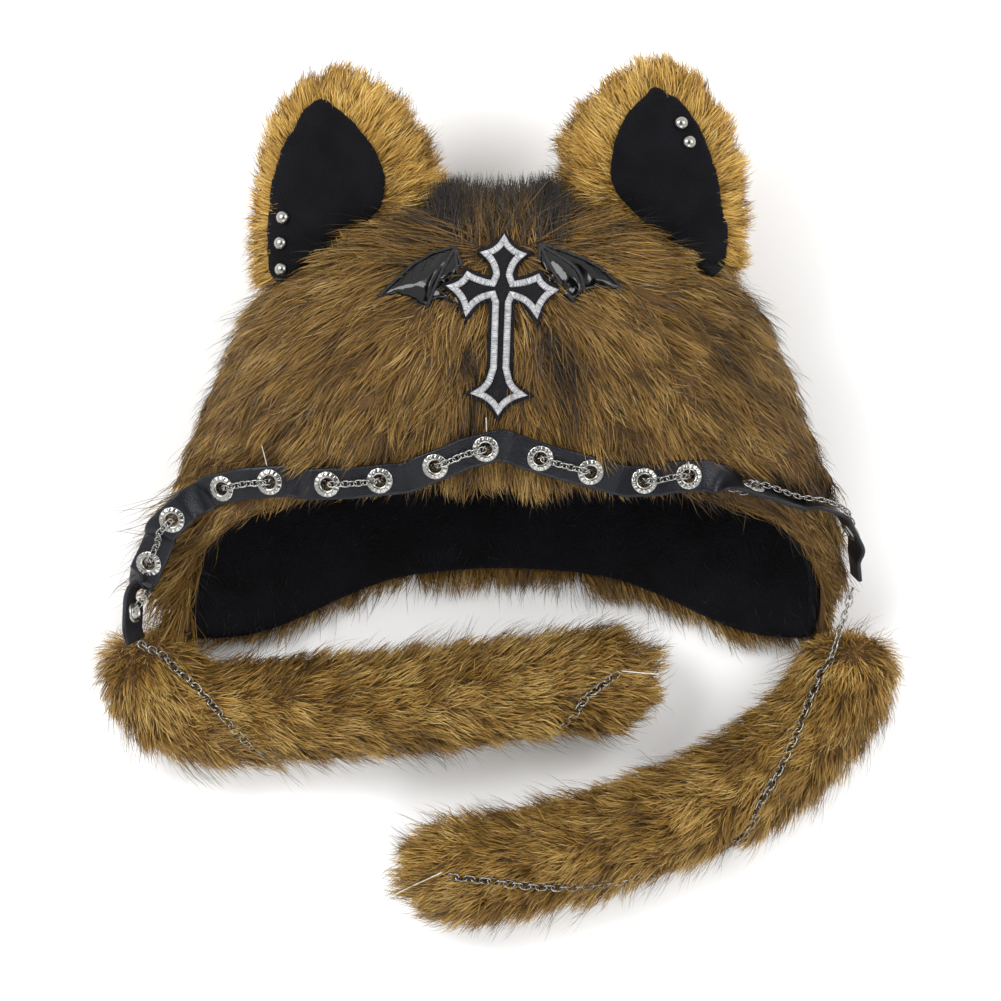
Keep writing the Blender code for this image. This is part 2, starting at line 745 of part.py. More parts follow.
def add_eyelets(frames, steel):
    """Each eyelet is a barrel through the strap with a rolled flange in front and a lip behind."""
    face = STRAP_THICKNESS / 2
    outer = EYELET_HOLE + EYELET_BARREL
    profile = (
        (EYELET_HOLE, face + FLANGE_RISE),
        (EYELET_RADIUS * 0.88, face + FLANGE_RISE),
        (EYELET_RADIUS, face + 0.0003),
        (outer, face + 0.0003),
        (outer, -face - 0.0003),
        (EYELET_RADIUS * 0.75, -face - 0.0003),
        (EYELET_HOLE, -face - FLANGE_RISE),
    )
    made = []
    for point, run, outward, eyelet in frames:
        if eyelet is None:
            continue
        bm = bmesh.new()
        rows = []
        for radius, rise in profile:
            ring = ring_points(point + outward * rise, run, outward, radius, 10)
            rows.append([bm.verts.new(spot) for spot in ring])
        for row, after in zip(rows, rows[1:] + rows[:1], strict=True):
            bridge(bm, row, after)
        made.append(add_object(f"eyelet_{len(made) + 1:02d}", bm, steel))
    return made


def tube(points, radius, sides):
    """A round tube along a line of points, with flat ends."""
    bm = bmesh.new()
    rows = []
    across = None
    for k, point in enumerate(points):
        run = (points[min(k + 1, len(points) - 1)] - points[max(k - 1, 0)]).normalized()
        if across is None:
            across = run.orthogonal().normalized()
        across = (across - run * across.dot(run)).normalized()
        rows.append([bm.verts.new(spot) for spot in ring_points(point, across, run, radius, sides)])
    for row, after in zip(rows, rows[1:], strict=False):
        bridge(bm, row, after)
    bm.faces.new(rows[0])
    bm.faces.new(reversed(rows[-1]))
    return bm


def curve_through(points, parts):
    """A smooth line through a list of points, with the same number of parts between each two."""
    line = []
    for k in range(len(points) - 1):
        first, second = points[k], points[k + 1]
        before = points[k - 1] if k else first
        after = points[k + 2] if k + 2 < len(points) else second
        for part in range(parts):
            t = part / parts
            bend = (second - before) * 0.5, (after - first) * 0.5
            line.append(
                first * (2 * t**3 - 3 * t**2 + 1)
                + bend[0] * (t**3 - 2 * t**2 + t)
                + second * (3 * t**2 - 2 * t**3)
                + bend[1] * (t**3 - t**2)
            )
    line.append(points[-1])
    return line


def strap_chain_points(frames):
    """The chain goes down through one eyelet and up through the next, all along the strap."""
    over = STRAP_THICKNESS / 2 + FLANGE_RISE + CHAIN_RADIUS + 0.0004
    points = []
    holes = [frame for frame in frames if frame[3] is not None]
    for number, (point, run, outward, _) in enumerate(holes):
        # Between the first two eyelets the chain is behind the strap
        before = over if number % 2 == 0 else -over
        if number:
            points.append(point - run * EYELET_RADIUS * 0.95 + outward * before)
            points.append(point - run * 0.0016 + outward * before * 0.86)
        else:
            points.append(point + outward * before * 0.7)
        points.append(point)
        if number + 1 < len(holes):
            points.append(point + run * 0.0016 - outward * before * 0.86)
            points.append(point + run * EYELET_RADIUS * 0.95 - outward * before)
            middle = between(frames, point, holes[number + 1][0])
            slack = CHAIN_SLACK if number == 0 else 1.0
            for spot, _, face, _ in middle:
                points.append(spot - face * before * slack)
        else:
            points.append(point - outward * before * 0.7)
    return points


def between(frames, start, end):
    """The strap's frames between two eyelets, leaving out those beside each of them."""
    spots = [frame[0] for frame in frames]
    first, last = spots.index(start), spots.index(end)
    return [frames[k] for k in range(first + 2, last - 1)]


def tail_route(side):
    return [on_crown(place) - Vector((0, TAIL_SEAM_GAP, 0)) for place in TAIL_ROUTES[side]]


def add_tail(side, fur):
    line = even_line(curve_through(tail_route(side), 8), TAIL_RINGS)
    bm = bmesh.new()
    rows = []
    for k, point in enumerate(line):
        run = (line[min(k + 1, len(line) - 1)] - line[max(k - 1, 0)]).normalized()
        if k == 0:
            run = Vector((0, -1, 0))
        side_way = run.cross(UP)
        to_end = min(k + 1.0, len(line) - 1 - k + 0.35)
        taper = math.sqrt(1 - (1 - min(1.0, to_end / 2.6)) ** 2)
        radius = TAIL_RADIUS * taper
        centre = point + UP * (TAIL_RADIUS * TAIL_SINK)
        row = []
        for step in range(TAIL_AROUND):
            turn = 2 * math.pi * (step + 0.5) / TAIL_AROUND
            spot = centre + (side_way * math.cos(turn) + UP * math.sin(turn)) * radius
            spot.z = max(spot.z, FLOOR_Z)
            row.append(bm.verts.new(spot))
        rows.append(row)
    for lower, upper in zip(rows, rows[1:], strict=False):
        for k in range(TAIL_AROUND):
            after = (k + 1) % TAIL_AROUND
            bm.faces.new((lower[k], lower[after], upper[after], upper[k]))
    fan(bm, rows[0], sum((vert.co for vert in rows[0]), Vector()) / TAIL_AROUND)
    end = line[-1] + (line[-1] - line[-2]).normalized() * 0.0012
    fan(bm, rows[-1], end + UP * (TAIL_RADIUS * TAIL_SINK))
    return add_object(f"tail_fur_{side}", bm, fur), line


def even_line(points, count):
    """The same line with this many points at equal distances."""
    lengths = [0.0]
    for first, second in zip(points, points[1:], strict=False):
        lengths.append(lengths[-1] + (second - first).length)
    made = []
    place = 0
    for k in range(count + 1):
        wanted = lengths[-1] * k / count
        while place < len(lengths) - 2 and lengths[place + 1] < wanted:
            place += 1
        span = lengths[place + 1] - lengths[place]
        made.append(points[place].lerp(points[place + 1], (wanted - lengths[place]) / span))
    return made


def add_tail_chain(side, line, steel):
    spots = []
    count = len(line) - 1
    for turn in TAIL_CHAINS[side]:
        place = turn.share * count
        k = min(int(place), count - 1)
        point = line[k].lerp(line[k + 1], place - k)
        run = (line[k + 1] - line[k]).normalized()
        lean = math.radians(turn.lean)
        away = UP * math.cos(lean) + UP.cross(run) * math.sin(lean)
        reach = TAIL_RADIUS + CHAIN_RADIUS * 1.15 + 0.0006
        spots.append((point, away * reach))
    centres = curve_through([point for point, _ in spots], 4)
    ways = curve_through([way for _, way in spots], 4)
    points = []
    for centre, way in zip(centres, ways, strict=True):
        reach = TAIL_RADIUS + CHAIN_RADIUS * 1.15 + 0.0006
        points.append(centre + UP * (TAIL_RADIUS * TAIL_SINK) + way.normalized() * reach)
    bm = tube(points, CHAIN_RADIUS * 1.15, TAIL_CHAIN_SIDES)
    return add_object(f"tail_chain_{side}", bm, steel)


def main():
    clear_scene()
    fur = material("golden fur", FUR_COLOUR, 0.8)
    ear_fur = material("light golden fur", EAR_FUR_COLOUR, 0.8)
    plush = material("black plush", PLUSH_COLOUR, 0.9)
    felt = material("black felt", FELT_COLOUR, 0.9)
    vinyl = material("black leathercloth", LEATHERCLOTH_COLOUR, 0.4)
    steel = material("nickel-plated steel", STEEL_COLOUR, 0.25, 1.0)
    silver = material("silver braid", SILVER_COLOUR, 0.45, 0.6)

    crown, lining = add_crown(fur, plush)
    cutter = crown_cutter()
    ears = {side: add_ear(side, cutter, ear_fur) for side in EAR_SHAPES}
    ear_trim = {side: add_ear_trim(side, ears[side], crown, plush, steel) for side in EAR_SHAPES}
    patch, braid = add_cross(crown, felt, silver)
    cutter = cross_cutter()
    wings = [add_wing(side, crown, cutter, vinyl) for side in WING_OUTLINES]

    tails = {}
    tail_chains = {}
    for side in TAIL_ROUTES:
        tails[side], line = add_tail(side, fur)
        tail_chains[side] = add_tail_chain(side, line, steel)
    frames = strap_frames(tree_of(crown, *tails.values()))
    strap = add_strap(frames, vinyl)
    eyelets = add_eyelets(frames, steel)
    chain = tube(curve_through(strap_chain_points(frames), 1), CHAIN_RADIUS, TAIL_CHAIN_SIDES)
    strap_chain = add_object("strap_chain", chain, steel)

    on_fur = [patch, braid, *wings, strap, *eyelets, strap_chain, *tail_chains.values(), lining]
    on_fur += [thing for trim in ear_trim.values() for thing in trim]
    for side, ear in ears.items():
        base = on_crown(EAR_SHAPES[side].root) - Vector((0, EAR_WIDTH * 0.19, 0))
        others = [*on_fur, crown]
        raise_locks(ear, lambda point, base=base: point - base, EAR_LOCK_REACH, EAR_LOCK_RISE, others)
    for side, tail in tails.items():
        others = [*on_fur, crown, *(other for name, other in tails.items() if name != side)]

        def along(point, route=tail_route(side)):
            near = min(range(len(route) - 1), key=lambda k: (route[k] - point.to_2d().to_3d()).length)
            return route[near + 1] - route[near]

        raise_locks(tail, along, TAIL_LOCK_REACH, TAIL_LOCK_RISE, others)
    raise_locks(crown, nap_of_crown, LOCK_REACH, LOCK_RISE, [*on_fur, *ears.values(), *tails.values()])


main()
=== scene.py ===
"""A faux-fur hat with cat ears, laid out flat on its back on a pale table and seen from above."""

import math

import bmesh
import bpy
import numpy as np
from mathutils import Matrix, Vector, noise
from mathutils.bvhtree import BVHTree
from mathutils.geometry import delaunay_2d_cdt
from mathutils.kdtree import KDTree


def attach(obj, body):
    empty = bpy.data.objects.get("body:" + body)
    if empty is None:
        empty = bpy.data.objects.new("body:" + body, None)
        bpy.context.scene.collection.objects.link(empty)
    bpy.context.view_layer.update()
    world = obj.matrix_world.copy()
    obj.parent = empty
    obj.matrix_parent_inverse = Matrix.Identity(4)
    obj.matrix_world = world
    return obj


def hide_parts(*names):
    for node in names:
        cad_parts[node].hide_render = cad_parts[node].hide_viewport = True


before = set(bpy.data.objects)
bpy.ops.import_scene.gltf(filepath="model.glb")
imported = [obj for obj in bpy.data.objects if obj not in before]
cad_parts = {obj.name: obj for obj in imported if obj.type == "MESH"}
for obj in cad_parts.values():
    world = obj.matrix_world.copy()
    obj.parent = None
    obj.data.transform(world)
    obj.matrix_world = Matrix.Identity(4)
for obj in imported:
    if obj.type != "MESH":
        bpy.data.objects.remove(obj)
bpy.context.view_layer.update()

# Camera and table
# The hat is photographed from straight above with a long lens, on a plain white table under
# broad soft lights. The lens flattens the view, so the camera is orthographic.

VIEW_WIDTH = 0.4505


def linear(code):
    """A colour from its sRGB hex code, as the shaders take it."""
    shares = [int(code[k : k + 2], 16) / 255 for k in (1, 3, 5)]
    return (*[s / 12.92 if s <= 0.04045 else ((s + 0.055) / 1.055) ** 2.4 for s in shares], 1.0)


def add_node(tree, kind, inputs=None, **settings):
    """Adds a shader node with its settings. An input is a value, or a socket that is linked to it."""
    node = tree.nodes.new("ShaderNode" + kind)
    for name, value in settings.items():
        setattr(node, name, value)
    for name, value in (inputs or {}).items():
        if isinstance(value, bpy.types.NodeSocket):
            tree.links.new(value, node.inputs[name])
        else:
            node.inputs[name].default_value = value
    return node


def new_finish(name):
    """An empty material, with its node tree and the shader's place in it."""
    finish = bpy.data.materials.new(name)
    finish.use_nodes = True
    finish.node_tree.nodes.clear()
    return finish, finish.node_tree


def end_finish(tree, shader):
    out = tree.nodes.new("ShaderNodeOutputMaterial")
    tree.links.new(shader.outputs[0], out.inputs["Surface"])


def add_mesh(name, points, faces, finish):
    mesh = bpy.data.meshes.new(name)
    mesh.from_pydata([tuple(point) for point in points], [], faces)
    mesh.materials.append(finish)
    mesh.shade_smooth()
    made = bpy.data.objects.new(name, mesh)
    bpy.context.scene.collection.objects.link(made)
    return made


camera = bpy.data.objects.new("camera", bpy.data.cameras.new("camera"))
bpy.context.scene.collection.objects.link(camera)
camera.location = (0.0014, -0.0038, 2.0)
camera.data.type = "ORTHO"
camera.data.ortho_scale = VIEW_WIDTH
bpy.context.scene.camera = camera
bpy.context.scene.view_settings.view_transform = "Standard"

table_top, tree = new_finish("white laminate table top")
shader = add_node(tree, "BsdfPrincipled", {"Base Color": linear("#FCFCFC"), "Roughness": 0.9})
end_finish(tree, shader)
table = add_mesh(
    "table", [(-2, -2, 0), (2, -2, 0), (2, 2, 0), (-2, 2, 0)], [(0, 1, 2, 3)], table_top
)
table.location.z = -0.0002


def add_light(name, place, size, watts):
    lamp = bpy.data.lights.new(name, "AREA")
    lamp.size = size
    lamp.energy = watts
    holder = bpy.data.objects.new(name, lamp)
    holder.location = place
    holder.rotation_mode = "QUATERNION"
    holder.rotation_quaternion = (-Vector(place)).to_track_quat("-Z", "Y")
    bpy.context.scene.collection.objects.link(holder)


add_light("softbox_left", (-1.1, 0.7, 1.4), 0.9, 23)
add_light("softbox_right", (1.2, 0.5, 1.3), 0.9, 13)
add_light("softbox_foot", (0.1, -1.5, 1.2), 1.0, 9)
world = bpy.data.worlds.new("studio")
world.use_nodes = True
# White walls and a ceiling that is dark straight above, where the photographer's camera hangs.
room = add_node(world.node_tree, "TexCoord")
height = add_node(world.node_tree, "SeparateXYZ", {"Vector": room.outputs["Generated"]})
glow = add_node(
    world.node_tree,
    "MapRange",
    {"Value": height.outputs["Z"], "From Min": 0.82, "From Max": 0.93, "To Min": 1.22, "To Max": 0.1},
)
world.node_tree.nodes["Background"].inputs["Color"].default_value = (1, 1, 1, 1)
world.node_tree.links.new(glow.outputs[0], world.node_tree.nodes["Background"].inputs["Strength"])
bpy.context.scene.world = world

# Fur pile of the crown
# Long golden modacrylic pile, knitted into a backing cloth: soft dense underhair with longer,
# stiffer guard hairs whose tips are dyed black. It is combed away from one spot on the brow.


def vectors(mesh):
    co = np.empty(len(mesh.vertices) * 3)
    mesh.vertices.foreach_get("co", co)
    return co.reshape(-1, 3)


def keep_shape(piece):
    """Makes a piece's modifiers part of its mesh."""
    bpy.context.view_layer.update()
    result = piece.evaluated_get(bpy.context.evaluated_depsgraph_get())
    mesh = bpy.data.meshes.new_from_object(result)
    piece.modifiers.clear()
    piece.data = mesh


def backing_of(name, node, voxel, rounds):
    """The smooth cloth under the pile: the node's form without its locks' edges."""
    made = bpy.data.objects.new(name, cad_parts[node].data.copy())
    bpy.context.scene.collection.objects.link(made)
    made.data.materials.clear()
    rebuilt = made.modifiers.new("remesh", "REMESH")
    rebuilt.mode = "VOXEL"
    rebuilt.voxel_size = voxel
    rebuilt.use_smooth_shade = True
    evened = made.modifiers.new("even", "SMOOTH")
    evened.iterations = rounds
    evened.factor = 0.5
    keep_shape(made)
    return made


def search_tree(*objects):
    points, faces = [], []
    for thing in objects:
        start = len(points)
        points += [vert.co.copy() for vert in thing.data.vertices]
        faces += [[start + k for k in face.vertices] for face in thing.data.polygons]
    return BVHTree.FromPolygons(points, faces)


ROOT_DEPTH = 0.0022
HAIR_POINTS = 7
HAIR_CORNERS = 11
TABLE_GAP = 0.0003


def scatter(cloth, count, rng, wanted):
    """Random roots and normals all over a cloth, where wanted says so."""
    mesh = cloth.data
    mesh.calc_loop_triangles()
    corners = np.empty(len(mesh.loop_triangles) * 3, int)
    mesh.loop_triangles.foreach_get("vertices", corners)
    corners = corners.reshape(-1, 3)
    co = vectors(mesh)
    normals = np.empty(len(mesh.vertices) * 3)
    mesh.vertices.foreach_get("normal", normals)
    normals = normals.reshape(-1, 3)
    middles = co[corners].mean(axis=1)
    keep = wanted(middles, normals[corners].mean(axis=1))
    corners = corners[keep > 0]
    keep = keep[keep > 0]
    a, b, c = co[corners[:, 0]], co[corners[:, 1]], co[corners[:, 2]]
    weights = np.linalg.norm(np.cross(b - a, c - a), axis=1) * keep
    picked = rng.choice(len(corners), size=count, p=weights / weights.sum())
    u, v = rng.random(count), rng.random(count)
    flip = u + v > 1
    u[flip], v[flip] = 1 - u[flip], 1 - v[flip]
    share = np.stack([1 - u - v, u, v], axis=1)[:, :, None]
    roots = (co[corners[picked]] * share).sum(axis=1)
    ups = unit((normals[corners[picked]] * share).sum(axis=1))
    return roots - ups * ROOT_DEPTH, ups


def unit(rows):
    return rows / np.maximum(np.linalg.norm(rows, axis=1, keepdims=True), 1e-9)


def clumped(roots, ways, spacing, pull, rng):
    """Turns each hair's way so that the tips of near hairs meet, as they do in locks."""
    count = max(8, len(roots) // spacing)
    leaders = rng.choice(len(roots), size=count, replace=False)
    finder = KDTree(count)
    for k, leader in enumerate(leaders):
        finder.insert(roots[leader], k)
    finder.balance()
    nearest = np.array([leaders[finder.find(root)[1]] for root in roots])
    strength = pull * rng.uniform(0.4, 1.0, len(roots))[:, None]
    return (roots[nearest] + ways[nearest] - roots - ways) * strength


def grow_hairs(name, roots, ups, flow, length, lift, width, tone, pull, spacing, rng, finish):
    """Fine flat ribbons, each rising from its root and bending over to lie along the flow."""
    count = len(roots)
    flow = unit(flow - ups * (flow * ups).sum(axis=1, keepdims=True))
    side = np.cross(ups, flow)
    rise = lift * rng.uniform(0.55, 1.3, count)[:, None]
    swing = rng.normal(0, 0.16, count)[:, None]
    start = unit(flow + side * swing + ups * (rise + 0.5))
    lay = unit(flow + side * (swing + rng.normal(0, 0.1, count)[:, None]) + ups * (rise - 0.35))
    long = (length * rng.uniform(0.7, 1.2, count))[:, None]
    ways = (start * 0.5 + lay * 0.5) * long
    drawn = clumped(roots, ways, spacing, pull, rng)
    turn = rng.uniform(-0.9, 0.9, count)[:, None]
    across = unit(side * np.cos(turn) + ups * np.sin(turn))
    rows = []
    for t, girth in ((0.0, 1.0), (0.38, 0.9), (0.74, 0.6), (1.0, 0.0)):
        middle = roots + long * (start * (t - 0.5 * t * t) + lay * 0.5 * t * t) + drawn * t * t
        middle[:, 2] = np.maximum(middle[:, 2], TABLE_GAP)
        middle = under_covers(middle, roots)
        half = across * width * girth / 2
        if girth:
            rows += [middle - half, middle + half]
        else:
            rows.append(middle)
    points = np.stack(rows, axis=1).reshape(-1, 3)
    first = np.arange(count)[:, None] * HAIR_POINTS
    quads = first + np.array([[0, 1, 3, 2, 2, 3, 5, 4]])
    tips = first + np.array([[4, 5, 6]])
    loops = np.concatenate([quads, tips], axis=1).reshape(-1)
    mesh = bpy.data.meshes.new(name)
    mesh.vertices.add(len(points))
    mesh.vertices.foreach_set("co", points.reshape(-1))
    mesh.loops.add(len(loops))
    mesh.loops.foreach_set("vertex_index", loops)
    sizes = np.tile([4, 4, 3], count)
    mesh.polygons.add(len(sizes))
    mesh.polygons.foreach_set("loop_start", np.concatenate([[0], np.cumsum(sizes)[:-1]]))
    mesh.update(calc_edges=True)
    heights = np.array([0.0, 0.0, 0.38, 0.38, 0.38, 0.38, 0.74, 0.74, 0.74, 0.74, 1.0])
    across_chart = np.repeat(np.clip(tone, 0.01, 0.99), HAIR_CORNERS)
    chart = np.stack([across_chart, np.tile(0.02 + 0.96 * heights, count)], axis=1)
    mesh.uv_layers.new(name="OFBake").data.foreach_set("uv", chart.reshape(-1))
    mesh.materials.append(finish)
    mesh.shade_smooth()
    made = bpy.data.objects.new(name, mesh)
    bpy.context.scene.collection.objects.link(made)
    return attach(made, "root")


def pile_finish(name, roots, middles, tips, roughness, sheen):
    """Modacrylic hair. The chart's width is the hair's shade and its height runs from root to tip."""
    finish, tree = new_finish(name)
    chart = add_node(tree, "UVMap", uv_map="OFBake")
    parts = add_node(tree, "SeparateXYZ", {"Vector": chart.outputs["UV"]})
    bands = []
    for codes in (roots, middles, tips):
        ramp = add_node(tree, "ValToRGB", {"Fac": parts.outputs["X"]})
        stops = ramp.color_ramp.elements
        while len(stops) < len(codes):
            stops.new(0.5)
        for k, (place, code) in enumerate(codes):
            stops[k].position = place
            stops[k].color = linear(code)
        bands.append(ramp.outputs["Color"])
    height = parts.outputs["Y"]
    lower = add_node(tree, "MapRange", {"Value": height, "From Min": 0.1, "From Max": 0.55})
    upper = add_node(tree, "MapRange", {"Value": height, "From Min": 0.6, "From Max": 0.95})
    body = add_node(
        tree, "Mix", {"Factor": lower.outputs[0], 6: bands[0], 7: bands[1]}, data_type="RGBA"
    )
    whole = add_node(
        tree, "Mix", {"Factor": upper.outputs[0], 6: body.outputs[2], 7: bands[2]}, data_type="RGBA"
    )
    shader = add_node(
        tree,
        "BsdfPrincipled",
        {"Base Color": whole.outputs[2], "Roughness": roughness, "Sheen Weight": sheen},
    )
    shader.inputs["Specular IOR Level"].default_value = 0.28
    shader.inputs["Sheen Roughness"].default_value = 0.4
    shader.inputs["Sheen Tint"].default_value = linear("#E2B56A")
    end_finish(tree, shader)
    return finish


def cloth_finish(name, mottle, stops, relief, roughness):
    """Cloth with a mottled colour and a matted surface. mottle and relief start with a noise's
    scale and detail, and relief goes on with the bump's strength and distance."""
    finish, tree = new_finish(name)
    place = add_node(tree, "TexCoord").outputs["Object"]
    patches = add_node(tree, "TexNoise", {"Vector": place, "Scale": mottle[0], "Detail": mottle[1]})
    shade = add_node(tree, "ValToRGB", {"Fac": patches.outputs["Fac"]})
    for stop, (position, code) in zip(shade.color_ramp.elements, stops, strict=True):
        stop.position = position
        stop.color = linear(code)
    fibres = add_node(tree, "TexNoise", {"Vector": place, "Scale": relief[0], "Detail": relief[1]})
    bump = add_node(
        tree,
        "Bump",
        {"Height": fibres.outputs["Fac"], "Strength": relief[2], "Distance": relief[3]},
    )
    shader = add_node(
        tree,
        "BsdfPrincipled",
        {
            "Base Color": shade.outputs["Color"],
            "Roughness": roughness,
            "Normal": bump.outputs["Normal"],
        },
    )
    end_finish(tree, shader)
    return finish, shader


# What lies on the fur, on a 1 mm grid from above, so that no hair pokes through it. The fur has
# closed over the tails' chains except in four places, given by their x and y limits.
VISIBLE_CHAINS = (
    (-0.165, -0.116, -0.112, -0.060),
    (0.034, 0.060, -0.100, -0.078),
    (0.115, 0.165, -0.145, -0.060),
    (-0.030, 0.075, -0.180, -0.165),
)
COVER_STEP = 0.001
COVER_CORNER = (-0.19, -0.21)
COVER_CELLS = (380, 420)
COVER_GAP = 0.0004
NO_COVER = 9.0
laid = [
    thing
    for name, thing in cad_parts.items()
    if name.startswith(("strap", "eyelet", "cross_patch", "wing", "ear_panel"))
]
laid_tree = search_tree(*laid)
chain_tree = search_tree(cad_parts["tail_chain_left"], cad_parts["tail_chain_right"])
cover_under = np.full(COVER_CELLS, NO_COVER)
cover_over = np.full(COVER_CELLS, -NO_COVER)
for i in range(COVER_CELLS[0]):
    for j in range(COVER_CELLS[1]):
        x, y = COVER_CORNER[0] + i * COVER_STEP, COVER_CORNER[1] + j * COVER_STEP
        cover = laid_tree
        if any(left < x < right and near < y < far for left, right, near, far in VISIBLE_CHAINS):
            cover = chain_tree
        hit = cover.ray_cast(Vector((x, y, -0.1)), Vector((0, 0, 1)))[0]
        if hit:
            cover_under[i, j] = hit.z
            cover_over[i, j] = cover.ray_cast(Vector((x, y, 1)), Vector((0, 0, -1)))[0].z


def under_covers(points, roots):
    """Keeps hairs that start below a strap or patch below it."""
    cells = ((points[:, :2] - COVER_CORNER) / COVER_STEP).round().astype(int)
    i, j = np.clip(cells, 0, np.array(COVER_CELLS) - 1).T
    covered = cover_under[i, j] < NO_COVER
    under = cover_under[i, j] - COVER_GAP
    pressed = covered & (points[:, 2] > under) & (roots[:, 2] < cover_over[i, j])
    points = points.copy()
    points[pressed, 2] = np.maximum(under[pressed], TABLE_GAP)
    return points


NAP_SOURCE = np.array([0.002, 0.108, 0.0])
NAP_STEEPNESS = 1.65
# The backing cloth is dark with the roots of the pile, and its stitches are about 2 mm apart.
KNIT_RELIEF = (500.0, 2.0, 0.5, 0.001)
golden_knit, _ = cloth_finish(
    "brown knitted fur backing", (90.0, 3.0), ((0.0, "#1B140B"), (1.0, "#6B4A20")), KNIT_RELIEF, 0.95
)
# Each hair is dark at its root and golden above it, and the darkest hairs draw the streaks.
golden_pile = pile_finish(
    "golden modacrylic pile",
    ((0.0, "#0E0C07"), (0.3, "#36250D"), (0.7, "#533814"), (1.0, "#70511F")),
    ((0.0, "#120E0A"), (0.3, "#5B4218"), (0.7, "#816029"), (1.0, "#A0844B")),
    ((0.0, "#08090B"), (0.3, "#453216"), (0.7, "#8B6A32"), (1.0, "#AB945F")),
    0.5,
    0.25,
)
# The guard hairs are smoother, brown at the root and dyed black towards the tip.
black_tipped_pile = pile_finish(
    "black-tipped modacrylic guard hair",
    ((0.0, "#0F0C08"), (0.5, "#3A2911"), (1.0, "#6F5021")),
    ((0.0, "#0B0B0E"), (0.5, "#2D2111"), (1.0, "#82602B")),
    ((0.0, "#050608"), (0.5, "#0F0E0A"), (1.0, "#20190F")),
    0.42,
    0.2,
)

crown_cloth = backing_of("crown_backing", "crown_fur", 0.0033, 10)
crown_cloth.data.materials.append(golden_knit)
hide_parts("crown_fur")
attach(crown_cloth, "root")
lining_tree = search_tree(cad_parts["crown_lining"])
# No hair grows closer to the lining than the gap. Within the reach lies the edge of the face
# opening, and its low front part has a density of its own.
LINING_GAP = 0.0011
LINING_REACH = 0.016
# The share of the pile that is drawn where the hat lies on the table.
PILE_UNDERNEATH = 0.1


def outside_of_crown(middles, normals):
    """Shares of the pile: full above and at the sides, thin on the table, none inside."""
    shares = np.empty(len(middles))
    under = normals[:, 2] < -0.45
    for k, middle in enumerate(middles):
        _, _, _, far = lining_tree.find_nearest(Vector(middle), LINING_REACH)
        if far is None:
            shares[k] = PILE_UNDERNEATH if under[k] else 1.0
        elif far < LINING_GAP:
            shares[k] = 0.0
        else:
            edge = middle[1] < 0.0 and middle[2] < 0.02
            dense = 0.7 if middle[0] < -0.03 else 1.5
            shares[k] = dense if edge else (PILE_UNDERNEATH if under[k] else 1.0)
    return shares


# Where the pile is darker: x, y, half width, half length and depth.
CROWN_DARK_PATCHES = (
    (0.001, 0.130, 0.036, 0.017, 1.1),
    (-0.010, 0.062, 0.007, 0.018, 0.8),
    (-0.012, 0.036, 0.009, 0.010, 0.5),
    (0.022, 0.072, 0.007, 0.016, 0.6),
    (0.032, 0.052, 0.007, 0.022, 0.7),
    (-0.052, 0.030, 0.010, 0.012, 0.45),
    (0.062, 0.030, 0.009, 0.014, 0.45),
    (0.100, 0.075, 0.012, 0.016, 0.4),
    (-0.030, 0.100, 0.010, 0.008, 0.3),
    (0.120, 0.008, 0.045, 0.006, 0.9),
    (-0.008, 0.118, 0.030, 0.010, 0.4),
    (0.072, 0.080, 0.012, 0.020, 0.25),
    (0.095, 0.050, 0.010, 0.022, 0.25),
    (-0.060, 0.060, 0.014, 0.016, 0.2),
    (-0.095, 0.040, 0.012, 0.018, 0.2),
)


def streaks(across, along, seed):
    """Slow changes of shade, in places measured across and along the nap in their own sizes."""
    return np.array([noise.noise((a, b, seed)) for a, b in zip(across, along, strict=True)])


def crown_shade(roots, rng):
    """How light each hair is: in streaks along the nap, with a few darker patches."""
    away = roots - NAP_SOURCE
    turn = np.arctan2(away[:, 0], -away[:, 1] * NAP_STEEPNESS)
    far = np.hypot(away[:, 0], away[:, 1])
    shade = rng.normal(0.60, 0.11, len(roots))
    shade += 0.36 * streaks(turn * 16, far / 0.022, 1.5) + 0.26 * streaks(turn * 40, far / 0.012, 7.5)
    for x, y, half_x, half_y, depth in CROWN_DARK_PATCHES:
        far = ((roots[:, 0] - x) / half_x) ** 2 + ((roots[:, 1] - y) / half_y) ** 2
        shade -= depth * np.exp(-far) * rng.uniform(0.4, 1.2, len(roots))
    return shade


# The left flap's fur lies left of the first measure and below the second.
LEFT_FLAP = (-0.128, 0.002)


def crown_lengths(roots):
    """Longer on the top and at the left flap, shorter beside the brow and at the sides."""
    share = np.ones(len(roots))
    share[np.abs(roots[:, 0]) > 0.112] = 0.8
    share[(np.abs(roots[:, 0]) < 0.052) & (roots[:, 1] > 0.098)] = 1.5
    share[(roots[:, 0] < LEFT_FLAP[0]) & (roots[:, 1] < LEFT_FLAP[1])] = 1.75
    front = (roots[:, 2] > 0.03) & (roots[:, 1] < 0.012) & (np.abs(roots[:, 0]) < 0.12)
    share[front] = 0.7
    return share


def crown_flow(roots, spread, rng):
    """The pile is combed down and outwards below the parting, and up above it."""
    away = (roots - NAP_SOURCE) * np.array([1, 1, 0])
    below = away[:, 1] < 0
    away[below, 1] *= NAP_STEEPNESS
    left_flap = (roots[:, 0] < LEFT_FLAP[0]) & (roots[:, 1] < LEFT_FLAP[1])
    away[left_flap, 1] *= 0.4
    return unit(away) + rng.normal(0, spread, roots.shape)


